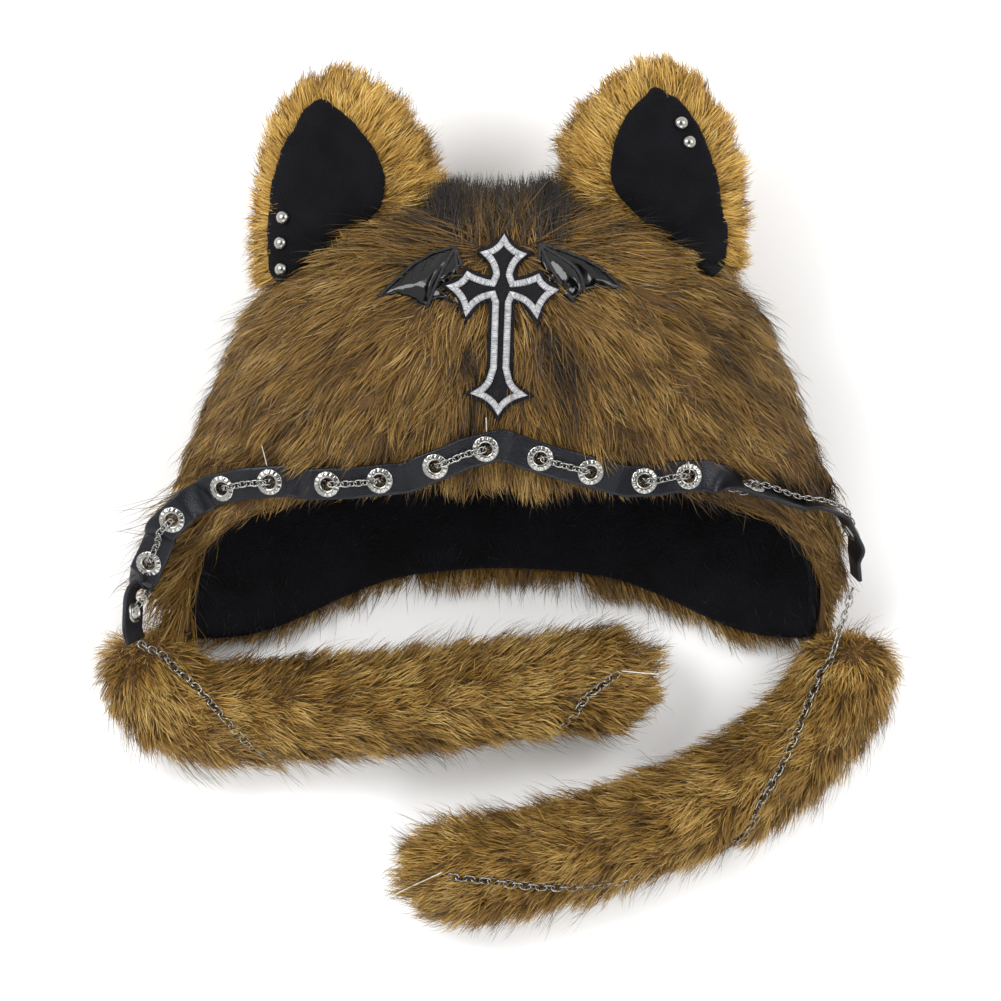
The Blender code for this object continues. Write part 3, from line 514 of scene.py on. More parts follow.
SEED = 7
rng = np.random.default_rng(SEED)
for part, count, spread, length, lift, width, pull, spacing, finish in (
    ("underhair", 26500, 0.08, 0.0135, 0.28, 0.00067, 0.6, 60, golden_pile),
    ("top_hair", 24500, 0.06, 0.020, 0.2, 0.00047, 0.55, 90, golden_pile),
    ("guard_hair", 6500, 0.22, 0.025, 0.38, 0.00026, 0.3, 24, black_tipped_pile),
):
    roots, ups = scatter(crown_cloth, count, rng, outside_of_crown)
    flow = crown_flow(roots, spread, rng)
    if part == "guard_hair":
        tone = rng.uniform(0.0, 1.0, len(roots))
    else:
        tone = crown_shade(roots, rng) + (0.06 if part == "top_hair" else 0.0)
    grow_hairs(
        f"crown_{part}", roots, ups, flow, length * crown_lengths(roots), lift, width,
        tone, pull, spacing, rng, finish,
    )


CREST_MIDDLE = 0.001
CREST_HALF_WIDTH = 0.030
CREST_FOOT = 0.106


def crest(middles, normals):
    """The pile between the ears, which stands up behind the cross, darkest beside the ears."""
    from_middle = np.abs(middles[:, 0] - CREST_MIDDLE)
    shares = (from_middle < CREST_HALF_WIDTH) & (middles[:, 1] > CREST_FOOT) & (normals[:, 2] > -0.4)
    return shares * (0.6 + (from_middle > 0.016) * 0.8)


for part, count, length, width, finish in (
    ("short_hair", 5200, 0.016, 0.00050, golden_pile),
    ("tall_hair", 3600, 0.025, 0.00034, black_tipped_pile),
):
    roots, ups = scatter(crown_cloth, count, rng, crest)
    flow = np.array([0.0, 1.0, 0.0]) + rng.normal(0, 0.2, roots.shape)
    standing = unit(ups * 0.3 + np.array([0.0, 0.5, 0.9]))
    tone = rng.uniform(0.1, 0.75, len(roots))
    tone[np.abs(roots[:, 0] - CREST_MIDDLE) > 0.018] *= 0.3
    grow_hairs(
        f"crown_crest_{part}", roots, standing, flow, length, 0.3, width,
        tone, 0.5, 20, rng, finish,
    )

# Cat ears
# Two stuffed pads of the same fur, a little lighter, sewn to the top of the crown. Their pile
# stands up and outwards from the seam, and is longest round the rim.

light_pile = pile_finish(
    "light golden modacrylic pile",
    ((0.0, "#281D0C"), (0.3, "#5A4016"), (0.7, "#856021"), (1.0, "#A37930")),
    ((0.0, "#31230B"), (0.3, "#8D6624"), (0.7, "#BB9243"), (1.0, "#D9BA6C")),
    ((0.0, "#1A150B"), (0.3, "#856127"), (0.7, "#C8A253"), (1.0, "#E5CB82")),
    0.5,
    0.25,
)
light_knit, _ = cloth_finish(
    "light brown knitted fur backing",
    (90.0, 3.0),
    ((0.0, "#1B140B"), (1.0, "#A27C3C")),
    KNIT_RELIEF,
    0.95,
)
EAR_ROOTS = {"left": (-0.066, 0.080), "right": (0.072, 0.084)}
# No hair grows where the backing lies this close to the ear's plush panel.
EAR_PANEL_GAP = 0.0009

for side, (root_x, root_y) in EAR_ROOTS.items():
    cloth = backing_of(f"ear_backing_{side}", f"ear_fur_{side}", 0.0032, 8)
    cloth.data.materials.append(light_knit)
    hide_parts(f"ear_fur_{side}")
    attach(cloth, "root")
    panel_tree = search_tree(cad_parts[f"ear_panel_{side}"])
    panel_middle = vectors(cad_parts[f"ear_panel_{side}"].data).mean(axis=0)

    def ear_pile(middles, normals):
        shares = np.ones(len(middles))
        for k, middle in enumerate(middles):
            if panel_tree.find_nearest(Vector(middle), EAR_PANEL_GAP)[0]:
                shares[k] = 0.0
        return shares

    for part, count, length, lift, width, finish in (
        ("underhair", 9000, 0.0105, 0.6, 0.00064, light_pile),
        ("top_hair", 8000, 0.0155, 0.55, 0.00046, light_pile),
        ("guard_hair", 1300, 0.0195, 0.55, 0.00024, black_tipped_pile),
    ):
        roots, ups = scatter(cloth, count, rng, ear_pile)
        flow = unit((roots - np.array([root_x, root_y, 0])) * np.array([1, 1, 0])) * 0.5
        flow += unit((roots - panel_middle) * np.array([1, 0.7, 0])) * 0.8
        flow += rng.normal(0, 0.2, roots.shape)
        shade = rng.normal(0.66, 0.12, len(roots))
        shade += 0.25 * streaks(roots[:, 0] / 0.007, roots[:, 1] / 0.012, 9.5)
        inner = np.exp(-((roots[:, 0] / 0.026) ** 2)) * (roots[:, 1] > 0.112)
        shade -= 0.55 * inner * rng.uniform(0.2, 1.2, len(roots))
        grow_hairs(
            f"ear_{part}_{side}", roots, ups, flow, length, lift, width,
            shade, 0.62, 36, rng, finish,
        )

# Tails
# Two stuffed tubes of the same fur, sewn to the tips of the side flaps. The pile runs from the
# seam to the tip and stands out all round, with a few long black-tipped hairs.

tail_golden = pile_finish(
    "golden modacrylic tail pile",
    ((0.0, "#13100A"), (0.3, "#412E11"), (0.7, "#624419"), (1.0, "#846126")),
    ((0.0, "#17130D"), (0.3, "#6C4F1D"), (0.7, "#987332"), (1.0, "#BD9D58")),
    ((0.0, "#0B0D0F"), (0.3, "#533D1B"), (0.7, "#A37F3B"), (1.0, "#C9B06F")),
    0.5,
    0.25,
)
TAIL_ROUTES = {
    "left": (
        (-0.157, -0.066), (-0.156, -0.082), (-0.148, -0.093), (-0.134, -0.099), (-0.105, -0.099),
        (-0.070, -0.098), (-0.035, -0.095), (0.010, -0.089), (0.046, -0.085), (0.070, -0.083),
    ),
    "right": (
        (0.157, -0.066), (0.157, -0.080), (0.152, -0.095), (0.142, -0.108), (0.125, -0.124),
        (0.102, -0.140), (0.071, -0.153), (0.040, -0.162), (0.009, -0.170), (-0.019, -0.174),
        (-0.044, -0.174),
    ),
}

for side, route in TAIL_ROUTES.items():
    cloth = backing_of(f"tail_backing_{side}", f"tail_fur_{side}", 0.0036, 9)
    cloth.data.materials.append(golden_knit)
    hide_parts(f"tail_fur_{side}")
    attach(cloth, "root")
    line = np.array(route)
    runs = unit(np.gradient(line, axis=0))

    def tail_flow(roots):
        flat = roots[:, None, :2] - line[None]
        nearest = (flat**2).sum(axis=2).argmin(axis=1)
        return np.concatenate([runs[nearest], np.zeros((len(roots), 1))], axis=1)

    def tail_pile(middles, normals):
        return np.where(normals[:, 2] < -0.6, 0.15, 1.0)

    for part, count, length, lift, width, finish in (
        ("underhair", 10300, 0.0105, 0.9, 0.00066, tail_golden),
        ("top_hair", 9500, 0.0145, 0.9, 0.00049, tail_golden),
        ("guard_hair", 2600, 0.0225, 0.95, 0.00025, black_tipped_pile),
    ):
        roots, ups = scatter(cloth, count, rng, tail_pile)
        flow = tail_flow(roots) + rng.normal(0, 0.3, roots.shape)
        shade = rng.normal(0.70, 0.12, len(roots))
        shade += 0.3 * streaks(roots[:, 0] / 0.016, roots[:, 1] / 0.008, 3.5)
        shade += 0.2 * streaks(roots[:, 0] / 0.006, roots[:, 1] / 0.004, 5.5)
        # Painted shade: the hair in one spot on the left tail is drawn darker, standing in for the shade
        # there.
        painted_shade_spot = ((roots[:, 0] + 0.112) / 0.024) ** 2 + ((roots[:, 1] + 0.078) / 0.008) ** 2
        shade -= 0.7 * np.exp(-painted_shade_spot) * rng.uniform(0.3, 1.2, len(roots))
        grow_hairs(
            f"tail_{part}_{side}", roots, ups, flow, length, lift, width,
            shade, 0.55, 50, rng, finish,
        )

# Plush
# Short black polyester plush lines the crown and faces the ears, and is glued and sewn in at its
# edge. Its dense pile is 4 to 7 mm long, and gives a deep black with a faint blue bloom.

plush, shader = cloth_finish(
    "black polyester plush",
    (60.0, 4.0),
    ((0.35, "#040405"), (0.7, "#0C0C10")),
    (900.0, 2.0, 0.7, 0.0012),
    0.95,
)
shader.inputs["Specular IOR Level"].default_value = 0.15
shader.inputs["Sheen Weight"].default_value = 0.06
shader.inputs["Sheen Roughness"].default_value = 0.5
shader.inputs["Sheen Tint"].default_value = linear("#6A70A0")
black_pile = pile_finish(
    "black plush pile",
    ((0.0, "#050506"), (1.0, "#0A0A0D")),
    ((0.0, "#050507"), (1.0, "#0E0E13")),
    ((0.0, "#060608"), (1.0, "#101117")),
    0.6,
    0.05,
)


def plush_on(node):
    """A plush sheet with the node's form, softened, in place of the node."""
    made = bpy.data.objects.new(f"{node}_plush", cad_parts[node].data.copy())
    bpy.context.scene.collection.objects.link(made)
    made.data.materials.clear()
    made.data.materials.append(plush)
    welded = made.modifiers.new("weld", "WELD")
    welded.merge_threshold = 0.00001
    divided = made.modifiers.new("divide", "SUBSURF")
    divided.levels = 1
    divided.render_levels = 1
    keep_shape(made)
    made.data.shade_smooth()
    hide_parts(node)
    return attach(made, "root")


lining = plush_on("crown_lining")
crown_tree = search_tree(crown_cloth)
# A ray from just above the plush meets the fur's backing within its reach on the glued side.
PLUSH_RAY_START = 0.0004
PLUSH_RAY_REACH = 0.004


def inside_of_lining(middles, normals):
    """The plush's free side: the one that doesn't lie against the fur's backing."""
    shares = np.ones(len(middles))
    for k, (middle, normal) in enumerate(zip(middles, normals, strict=True)):
        start = Vector(middle) + Vector(normal) * PLUSH_RAY_START
        if crown_tree.ray_cast(start, Vector(normal), PLUSH_RAY_REACH)[0]:
            shares[k] = 0.0
    return shares


roots, ups = scatter(lining, 7500, rng, inside_of_lining)
flow = np.array([0.0, -1.0, 0.0]) + rng.normal(0, 0.5, roots.shape)
grow_hairs(
    "lining_pile", roots, ups, flow, 0.0075, 0.75, 0.0004,
    rng.uniform(0, 1, len(roots)), 0.4, 30, rng, black_pile,
)
for side in ("left", "right"):
    panel = plush_on(f"ear_panel_{side}")
    roots, ups = scatter(panel, 1900, rng, lambda middles, normals: (normals[:, 2] > 0.1) * 1.0)
    flow = np.array([0.0, -1.0, 0.0]) + rng.normal(0, 0.35, roots.shape)
    grow_hairs(
        f"ear_panel_pile_{side}", roots, ups, flow, 0.0042, 0.3, 0.0005,
        rng.uniform(0, 1, len(roots)), 0.3, 30, rng, black_pile,
    )

# Cross
# A patch of stiff black felt, cut 2 mm outside a border of silver rayon satin stitch. The
# border is machine embroidered over a cord, so it stands up, and its threads run across it.

CROSS_CENTRE = (0.002255, 0.09094)
CROSS_LENGTH = 0.0763
CROSS_LEAN = -0.035
BORDER_WIDTH = 0.0030
BORDER_RISE = 0.0013
PATCH_MARGIN = 0.0032
CROSS_CORNERS = (
    (0.000, 0.294, 0.10), (0.102, 0.211, 0.10), (0.037, 0.089, 0.00), (0.057, 0.036, 0.05),
    (0.206, 0.080, 0.10), (0.295, 0.008, 0.10), (0.205, -0.128, 0.12), (0.055, -0.027, 0.00),
    (0.037, -0.073, 0.00), (0.036, -0.457, 0.00), (0.058, -0.535, 0.08), (0.131, -0.611, 0.10),
    (0.000, -0.706, 0.00),
)


def cross_line(offset, step):
    """The cross's pointed outline on the crown, moved outwards by offset."""
    corners = list(CROSS_CORNERS) + [(-x, y, 0.0) for x, y, _ in reversed(CROSS_CORNERS[1:-1])]
    bows = [bow for _, _, bow in CROSS_CORNERS[:-1]]
    bows += bows[::-1]
    line = []
    for k, corner in enumerate(corners):
        start = np.array(corner[:2]) * CROSS_LENGTH
        end = np.array(corners[(k + 1) % len(corners)][:2]) * CROSS_LENGTH
        inward = np.array([end[1] - start[1], start[0] - end[0]])
        parts = max(1, round(np.linalg.norm(end - start) / step))
        for part in range(parts):
            share = part / parts
            line.append(start + (end - start) * share + inward * 4 * share * (1 - share) * bows[k])
    line = np.array(line)
    before = unit(line - np.roll(line, 1, axis=0))
    after = unit(np.roll(line, -1, axis=0) - line)
    outward = unit(np.stack([-before[:, 1] - after[:, 1], before[:, 0] + after[:, 0]], axis=1))
    spread = outward[:, 0] * -before[:, 1] + outward[:, 1] * before[:, 0]
    line = line + outward * (offset / np.maximum(spread, 0.5))[:, None]
    c, s = math.cos(CROSS_LEAN), math.sin(CROSS_LEAN)
    turned = np.stack([line[:, 0] * c - line[:, 1] * s, line[:, 0] * s + line[:, 1] * c], axis=1)
    return turned + CROSS_CENTRE


def height_on(tree, x, y):
    """The highest point of a surface at x, y, or of its nearest place beside its edge."""
    hit = tree.ray_cast(Vector((x, y, 1)), Vector((0, 0, -1)))[0]
    return (hit or tree.find_nearest(Vector((x, y, 0.1)))[0]).z


def laid_sheet(name, outline, spacing, heights, thickness, finish):
    """A sheet filled in with small triangles, with a rounded edge. heights gives its top."""
    rim = [Vector((x, y)) for x, y in outline]
    low = np.min(outline, axis=0)
    high = np.max(outline, axis=0)
    inner = []
    for i in range(int((high[0] - low[0]) / spacing) + 1):
        for j in range(int((high[1] - low[1]) / spacing) + 1):
            spot = Vector((low[0] + (i + 0.5 * (j % 2)) * spacing, low[1] + j * spacing))
            if inside(outline, spot) and min((spot - edge).length for edge in rim) > spacing * 0.6:
                inner.append(spot)
    around = [(k, (k + 1) % len(rim)) for k in range(len(rim))]
    flat, _, faces, *_ = delaunay_2d_cdt(rim + inner, around, [list(range(len(rim)))], 1, 1e-7)
    count = len(flat)
    tops = [Vector((spot.x, spot.y, heights(spot))) for spot in flat]
    points = tops + [top - Vector((0, 0, thickness)) for top in tops]
    made = [list(face) for face in faces]
    made += [[count + k for k in reversed(face)] for face in faces]
    size = len(rim)
    made += [[k, (k + 1) % size, count + (k + 1) % size, count + k] for k in range(size)]
    piece = add_mesh(name, points, made, finish)
    bm = bmesh.new()
    bm.from_mesh(piece.data)
    bmesh.ops.recalc_face_normals(bm, faces=bm.faces)
    bm.to_mesh(piece.data)
    bm.free()
    return piece


def inside(outline, spot):
    found = False
    for k, start in enumerate(outline):
        end = outline[(k + 1) % len(outline)]
        if (start[1] > spot.y) != (end[1] > spot.y):
            share = (spot.y - start[1]) / (end[1] - start[1])
            if spot.x < start[0] + share * (end[0] - start[0]):
                found = not found
    return found


def threads_finish(name, code, pitch, roughness, metallic):
    """Satin stitch. The stitch chart is in metres, with its length along the border."""
    finish, tree = new_finish(name)
    chart = add_node(tree, "UVMap", uv_map="stitches")
    parts = add_node(tree, "SeparateXYZ", {"Vector": chart.outputs["UV"]})
    slant = add_node(
        tree, "Math", {0: parts.outputs["Y"], 1: 0.35, 2: parts.outputs["X"]}, operation="MULTIPLY_ADD"
    )
    turns = add_node(tree, "Math", {0: slant.outputs[0], 1: 2 * math.pi / pitch}, operation="MULTIPLY")
    ridge = add_node(tree, "Math", {0: turns.outputs[0]}, operation="SINE")
    drawn = add_node(tree, "Mapping", {"Vector": chart.outputs["UV"], "Scale": (1700.0, 260.0, 1.0)})
    uneven = add_node(tree, "TexNoise", {"Vector": drawn.outputs["Vector"], "Scale": 1.0, "Detail": 2.0})
    both = add_node(
        tree, "Math", {0: uneven.outputs["Fac"], 1: 1.5, 2: ridge.outputs[0]}, operation="MULTIPLY_ADD"
    )
    bump = add_node(tree, "Bump", {"Height": both.outputs[0], "Strength": 0.9, "Distance": 0.00022})
    shade = add_node(tree, "ValToRGB", {"Fac": uneven.outputs["Fac"]})
    shade.color_ramp.elements[0].position = 0.3
    shade.color_ramp.elements[0].color = linear(code[0])
    shade.color_ramp.elements[1].position = 0.65
    shade.color_ramp.elements[1].color = linear(code[1])
    shader = add_node(
        tree,
        "BsdfPrincipled",
        {
            "Base Color": shade.outputs["Color"],
            "Roughness": roughness,
            "Metallic": metallic,
            "Normal": bump.outputs["Normal"],
        },
    )
    end_finish(tree, shader)
    return finish


# Needled felt: matted fibres under half a millimetre long, drawn 0.7 mm wide so that they show.
black_felt, shader = cloth_finish(
    "black felt",
    (1400.0, 4.0),
    ((0.4, "#0B0B0D"), (0.75, "#1E1E22")),
    (1400.0, 4.0, 0.5, 0.0004),
    0.9,
)
shader.inputs["Specular IOR Level"].default_value = 0.2
# Rayon thread is bright and slightly metallic. Its 0.4 mm stitches are drawn 0.9 mm apart so that
# they show in the render.
silver_stitch = threads_finish("silver rayon satin stitch", ("#7C7D82", "#C6C6C8"), 0.0009, 0.45, 0.15)
patch_tree = search_tree(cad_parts["cross_patch"])
patch = laid_sheet(
    "cross_felt",
    cross_line(PATCH_MARGIN, 0.0015),
    0.0022,
    lambda spot: height_on(patch_tree, spot.x, spot.y),
    0.0014,
    black_felt,
)
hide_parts("cross_patch")
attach(patch, "root")


def smooth_ring(values, rounds):
    for _ in range(rounds):
        values = (np.roll(values, 1) + 2 * values + np.roll(values, -1)) / 4
    return values


BORDER_SECTION = 9
BORDER_STEP = 0.0009
middle = cross_line(0.0, BORDER_STEP)
along = np.concatenate([[0], np.cumsum(np.linalg.norm(np.diff(middle, axis=0), axis=1))])
ground = smooth_ring(np.array([height_on(patch_tree, x, y) for x, y in middle]), 6)
points = []
for k in range(BORDER_SECTION):
    share = -1 + 2 * k / (BORDER_SECTION - 1)
    row = cross_line(-share * BORDER_WIDTH / 2, BORDER_STEP)
    rise = BORDER_RISE * math.sqrt(max(0.0, 1 - share**4)) - 0.0001
    points.append(np.column_stack([row, ground + rise + 0.0004]))
count = len(middle)
faces, chart = [], []
for k in range(BORDER_SECTION - 1):
    for n in range(count):
        after = (n + 1) % count
        faces.append((k * count + n, (k + 1) * count + n, (k + 1) * count + after, k * count + after))
        far = along[n + 1] if n + 1 < count else along[n] + BORDER_STEP
        step = BORDER_WIDTH / (BORDER_SECTION - 1)
        chart += [along[n], k * step, along[n], (k + 1) * step, far, (k + 1) * step, far, k * step]
border = add_mesh("cross_border", np.concatenate(points), faces, silver_stitch)
border.data.uv_layers.new(name="stitches").data.foreach_set("uv", chart)
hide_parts("cross_braid")
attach(border, "root")

# Wings
# One padded bat wing on each side of the cross, of glossy black leathercloth. It is stuffed in
# three panels between corded ribs, and its edge is corded and overstitched with dark thread.

# PVC-coated cloth with a mirror-like coat, which shows the lights on its puffed panels.
gloss_black, tree = new_finish("glossy black leathercloth")
place = add_node(tree, "TexCoord")
creases = add_node(tree, "TexNoise", {"Vector": place.outputs["Object"], "Scale": 120.0, "Detail": 3.0})
bump = add_node(tree, "Bump", {"Height": creases.outputs["Fac"], "Strength": 0.07, "Distance": 0.0012})
wear = add_node(tree, "MapRange", {"Value": creases.outputs["Fac"], "To Min": 0.06, "To Max": 0.16})
shader = add_node(
    tree,
    "BsdfPrincipled",
    {"Base Color": linear("#030304"), "Roughness": wear.outputs[0], "Normal": bump.outputs["Normal"]},
)
shader.inputs["Specular IOR Level"].default_value = 0.24
shader.inputs["Coat Weight"].default_value = 0.25
shader.inputs["Coat Roughness"].default_value = 0.05
end_finish(tree, shader)
dark_cord = threads_finish("dark overstitched cord", ("#08080A", "#242428"), 0.0009, 0.6, 0.0)

WING_PUFF = 0.0030
WING_SLOPE_LENGTH = 0.0075
WING_DROP_LENGTH = 0.0016
WING_TUCK_LENGTH = 0.010
WING_CORD_RADIUS = 0.0008
WING_SHAPES = {
    "left": (
        (
            (-0.278, 0.255), (-0.410, 0.222), (-0.528, 0.153), (-0.655, 0.036), (-0.739, -0.047),
            (-0.606, -0.032), (-0.528, -0.058), (-0.446, -0.111), (-0.395, -0.062),
            (-0.333, -0.062), (-0.245, -0.145), (-0.215, -0.020), (-0.235, 0.130),
        ),
        (
            ((-0.278, 0.250), (-0.375, 0.075), (-0.446, -0.105)),
            ((-0.278, 0.250), (-0.262, 0.05), (-0.250, -0.135)),
        ),
    ),
    "right": (
        (
            (0.225, 0.271), (0.333, 0.241), (0.489, 0.183), (0.606, 0.114), (0.723, -0.004),
            (0.567, 0.001), (0.489, -0.013), (0.420, -0.072), (0.362, -0.042), (0.260, -0.040),
            (0.215, 0.060), (0.215, 0.150),
        ),
        (
            ((0.225, 0.265), (0.300, 0.11), (0.420, -0.066)),
            ((0.225, 0.265), (0.43, 0.13), (0.486, -0.010)),
        ),
    ),
}


def ring_faces(start, rings, sides):
    """The faces between rings of points that follow each other."""
    faces = []
    for n in range(rings - 1):
        here, ahead = start + n * sides, start + (n + 1) * sides
        for k in range(sides):
            after = (k + 1) % sides
            faces.append((here + k, here + after, ahead + after, ahead + k))
    return faces


def sweep(name, path, radius, finish, sides):
    """A round cord along a path, with its stitch chart in metres."""
    path = np.array(path, float)
    runs = unit(np.gradient(path, axis=0))
    across = unit(np.cross(runs, [0.0, 0.0, 1.0]) + 1e-6)
    above = np.cross(across, runs)
    along = np.concatenate([[0], np.cumsum(np.linalg.norm(np.diff(path, axis=0), axis=1))])
    points, chart = [], []
    for n, spot in enumerate(path):
        for k in range(sides):
            turn = 2 * math.pi * k / sides
            points.append(spot + radius * (across[n] * math.cos(turn) + above[n] * math.sin(turn)))
    for n in range(len(path) - 1):
        for k in range(sides):
            v, w = k * radius, (k + 1) * radius
            chart += [along[n], v, along[n], w, along[n + 1], w, along[n + 1], v]
    made = add_mesh(name, points, ring_faces(0, len(path), sides), finish)
    made.data.uv_layers.new(name="stitches").data.foreach_set("uv", chart)
    return made


def through(points, parts):
    """A smooth line through a few points."""
    points = np.array(points, float)
    line = []
    for k in range(len(points) - 1):
        first, second = points[k], points[k + 1]
        before = points[k - 1] if k else first
        after = points[k + 2] if k + 2 < len(points) else second
        for part in range(parts):
            t = part / parts
            line.append(
                first * (2 * t**3 - 3 * t**2 + 1)
                + (second - before) * 0.5 * (t**3 - 2 * t**2 + t)
                + second * (3 * t**2 - 2 * t**3)
                + (after - first) * 0.5 * (t**3 - t**2)
            )
    line.append(points[-1])
    return np.array(line)


cross_edge = cross_line(PATCH_MARGIN + 0.0006, 0.0015)
for side, (outline, ribs) in WING_SHAPES.items():
    wing_tree = search_tree(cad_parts[f"wing_{side}"])
    corners = np.array(outline) * CROSS_LENGTH + CROSS_CENTRE
    rim = []
    for k, corner in enumerate(corners):
        after = corners[(k + 1) % len(corners)]
        parts = max(1, round(np.linalg.norm(after - corner) / 0.0014))
        rim += [corner + (after - corner) * part / parts for part in range(parts)]
    rib_lines = [through(np.array(rib) * CROSS_LENGTH + CROSS_CENTRE, 10) for rib in ribs]
    held = np.concatenate([np.array(rim), *rib_lines, cross_edge])

    def wing_height(spot, held=held, tree=wing_tree):
        """Each panel fills like a sail: it rises slowly from the left and drops at the right."""
        far = np.sqrt(((held - [spot.x, spot.y]) ** 2).sum(axis=1))
        left = held[:, 0] < spot.x
        rise = min(1.0, far[left].min(initial=0.02) / WING_SLOPE_LENGTH)
        drop = math.sqrt(min(1.0, far[~left].min(initial=0.02) / WING_DROP_LENGTH))
        ground = height_on(tree, spot.x, spot.y) - 0.0006
        beside_cross = np.sqrt(((cross_edge - [spot.x, spot.y]) ** 2).sum(axis=1)).min()
        tucked = height_on(patch_tree, spot.x, spot.y) - 0.0018
        if inside(cross_edge, spot):
            return tucked
        ground += max(0.0, 1 - beside_cross / WING_TUCK_LENGTH) * max(0.0, tucked - ground)
        return ground + WING_PUFF * rise * drop * min(1.0, beside_cross / 0.002)

    wing = laid_sheet(f"wing_vinyl_{side}", rim, 0.0013, wing_height, 0.0022, gloss_black)
    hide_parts(f"wing_{side}")
    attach(wing, "root")
    number = 0
    for line in [*rib_lines, np.array(rim + rim[:1])]:
        stretches = [[]]
        for x, y in line:
            if inside(cross_edge, Vector((x, y))):
                stretches.append([])
            else:
                stretches[-1].append((x, y, wing_height(Vector((x, y))) + 0.0004))
        for spots in stretches:
            if len(spots) > 3:
                cord = sweep(f"wing_cord_{side}_{number}", spots, WING_CORD_RADIUS, dark_cord, 8)
                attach(cord, "root")
                number += 1

# Strap
# A band of soft black leathercloth, 14.5 mm wide, that lies loosely round the brow. It is cut
# from two layers stuck back to back, so its edges are plain, and it waves between its eyelets.

# PU-coated cloth, embossed with a grain 0.8 mm wide, with soft broad glints where it bends.
satin_black, tree = new_finish("satin black leathercloth")
place = add_node(tree, "TexCoord")
grain = add_node(tree, "TexVoronoi", {"Vector": place.outputs["Object"], "Scale": 1300.0})
waves = add_node(tree, "TexNoise", {"Vector": place.outputs["Object"], "Scale": 140.0, "Detail": 3.0})
both = add_node(
    tree,
    "Math",
    {0: waves.outputs["Fac"], 1: 3.0, 2: grain.outputs["Distance"]},
    operation="MULTIPLY_ADD",
)
bump = add_node(tree, "Bump", {"Height": both.outputs[0], "Strength": 0.3, "Distance": 0.0004})
shade = add_node(tree, "ValToRGB", {"Fac": waves.outputs["Fac"]})
shade.color_ramp.elements[0].color = linear("#0A0A0C")
shade.color_ramp.elements[1].color = linear("#18191E")
shader = add_node(
    tree,
    "BsdfPrincipled",
    {"Base Color": shade.outputs["Color"], "Roughness": 0.34, "Normal": bump.outputs["Normal"]},
)
shader.inputs["Specular IOR Level"].default_value = 0.27
shader.inputs["Specular Tint"].default_value = linear("#EEF0F8")
end_finish(tree, shader)

FLAP_TIP_Y = -0.066
CROWN_LENGTH = 0.190
CROWN_HALF_WIDTH = 0.149
CROWN_CENTRE_X = 0.003
STRAP_WIDTH = 0.0145
STRAP_THICKNESS = 0.0018
EYELET_RADIUS = 0.0061
EYELET_HOLE = 0.00275
STRAP_HOLE = 0.0036
STRAP_STATIONS = (
    (-1.114, -0.006, -125, False), (-1.119, 0.062, -125, True), (-1.107, 0.120, -62, False),
    (-1.069, 0.181, -8, True), (-1.039, 0.236, 0, False), (-1.000, 0.284, 0, True),
    (-0.903, 0.339, 4, False), (-0.846, 0.358, 6, True), (-0.704, 0.373, 8, True),
    (-0.617, 0.370, 8, False), (-0.532, 0.368, 10, True), (-0.374, 0.377, 12, True),
    (-0.284, 0.385, 12, False), (-0.206, 0.411, 12, True), (-0.055, 0.452, 12, True),
    (0.018, 0.452, 12, False), (0.108, 0.430, 12, True), (0.259, 0.397, 10, True),
    (0.350, 0.377, 8, False), (0.422, 0.375, 4, True), (0.556, 0.385, 0, True),
    (0.637, 0.382, -12, False), (0.745, 0.358, -68, True), (0.890, 0.318, -80, False),
    (0.985, 0.304, -90, False), (1.042, 0.255, -104, True), (1.058, 0.190, -104, False),
    (1.064, 0.145, -104, False),
)
strap_tree = search_tree(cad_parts["strap"])
spots, turns, number = [], [], 0
for across, along_crown, turn, eyelet in STRAP_STATIONS:
    x = CROWN_CENTRE_X + across * CROWN_HALF_WIDTH
    y = FLAP_TIP_Y + along_crown * CROWN_LENGTH
    turn = math.radians(turn)
    if eyelet:
        number += 1
        ring = vectors(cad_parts[f"eyelet_{number:02d}"].data)
        spots.append((ring.min(axis=0) + ring.max(axis=0)) / 2)
    else:
        reach = 0.5 * (STRAP_WIDTH * abs(math.sin(turn)) + STRAP_THICKNESS * abs(math.cos(turn)))
        spots.append(np.array([x, y, height_on(strap_tree, x, y) - reach]))
    turns.append(turn)
spots = np.array(spots)
last = len(spots) - 1
runs = unit(np.array([spots[min(k + 1, last)] - spots[max(k - 1, 0)] for k in range(last + 1)]))
held_at = [eyelet for *_, eyelet in STRAP_STATIONS]


def face_of(run, turn):
    up = np.array([0.0, 0.0, 1.0]) - run * run[2]
    up /= np.linalg.norm(up)
    return up * math.cos(turn) + np.cross(run, up) * math.sin(turn)


middle_line, faces_out = [], []
STRAIGHT = EYELET_RADIUS * 1.06
STRAIGHT_PARTS = 6
for k in range(last):
    start = spots[k] + runs[k] * (STRAIGHT if held_at[k] else 0)
    end = spots[k + 1] - runs[k + 1] * (STRAIGHT if held_at[k + 1] else 0)
    if held_at[k]:
        for part in range(STRAIGHT_PARTS):
            middle_line.append(spots[k] + (start - spots[k]) * part / STRAIGHT_PARTS)
            faces_out.append(face_of(runs[k], turns[k]))
    gap = np.linalg.norm(end - start)
    parts = max(3, round(gap / 0.0011))
    for part in range(parts):
        t = part / parts
        ease = t * t * (3 - 2 * t)
        lead = start + runs[k] * gap * t
        trail = end - runs[k + 1] * gap * (1 - t)
        run = unit((runs[k] * (1 - ease) + runs[k + 1] * ease)[None])[0]
        middle_line.append(lead * (1 - ease) + trail * ease)
        faces_out.append(face_of(run, turns[k] * (1 - ease) + turns[k + 1] * ease))
    if held_at[k + 1]:
        for part in range(STRAIGHT_PARTS):
            middle_line.append(end + (spots[k + 1] - end) * part / STRAIGHT_PARTS)
            faces_out.append(face_of(runs[k + 1], turns[k + 1]))
middle_line.append(spots[-1])
faces_out.append(face_of(runs[-1], turns[-1]))
middle_line, faces_out = np.array(middle_line), np.array(faces_out)
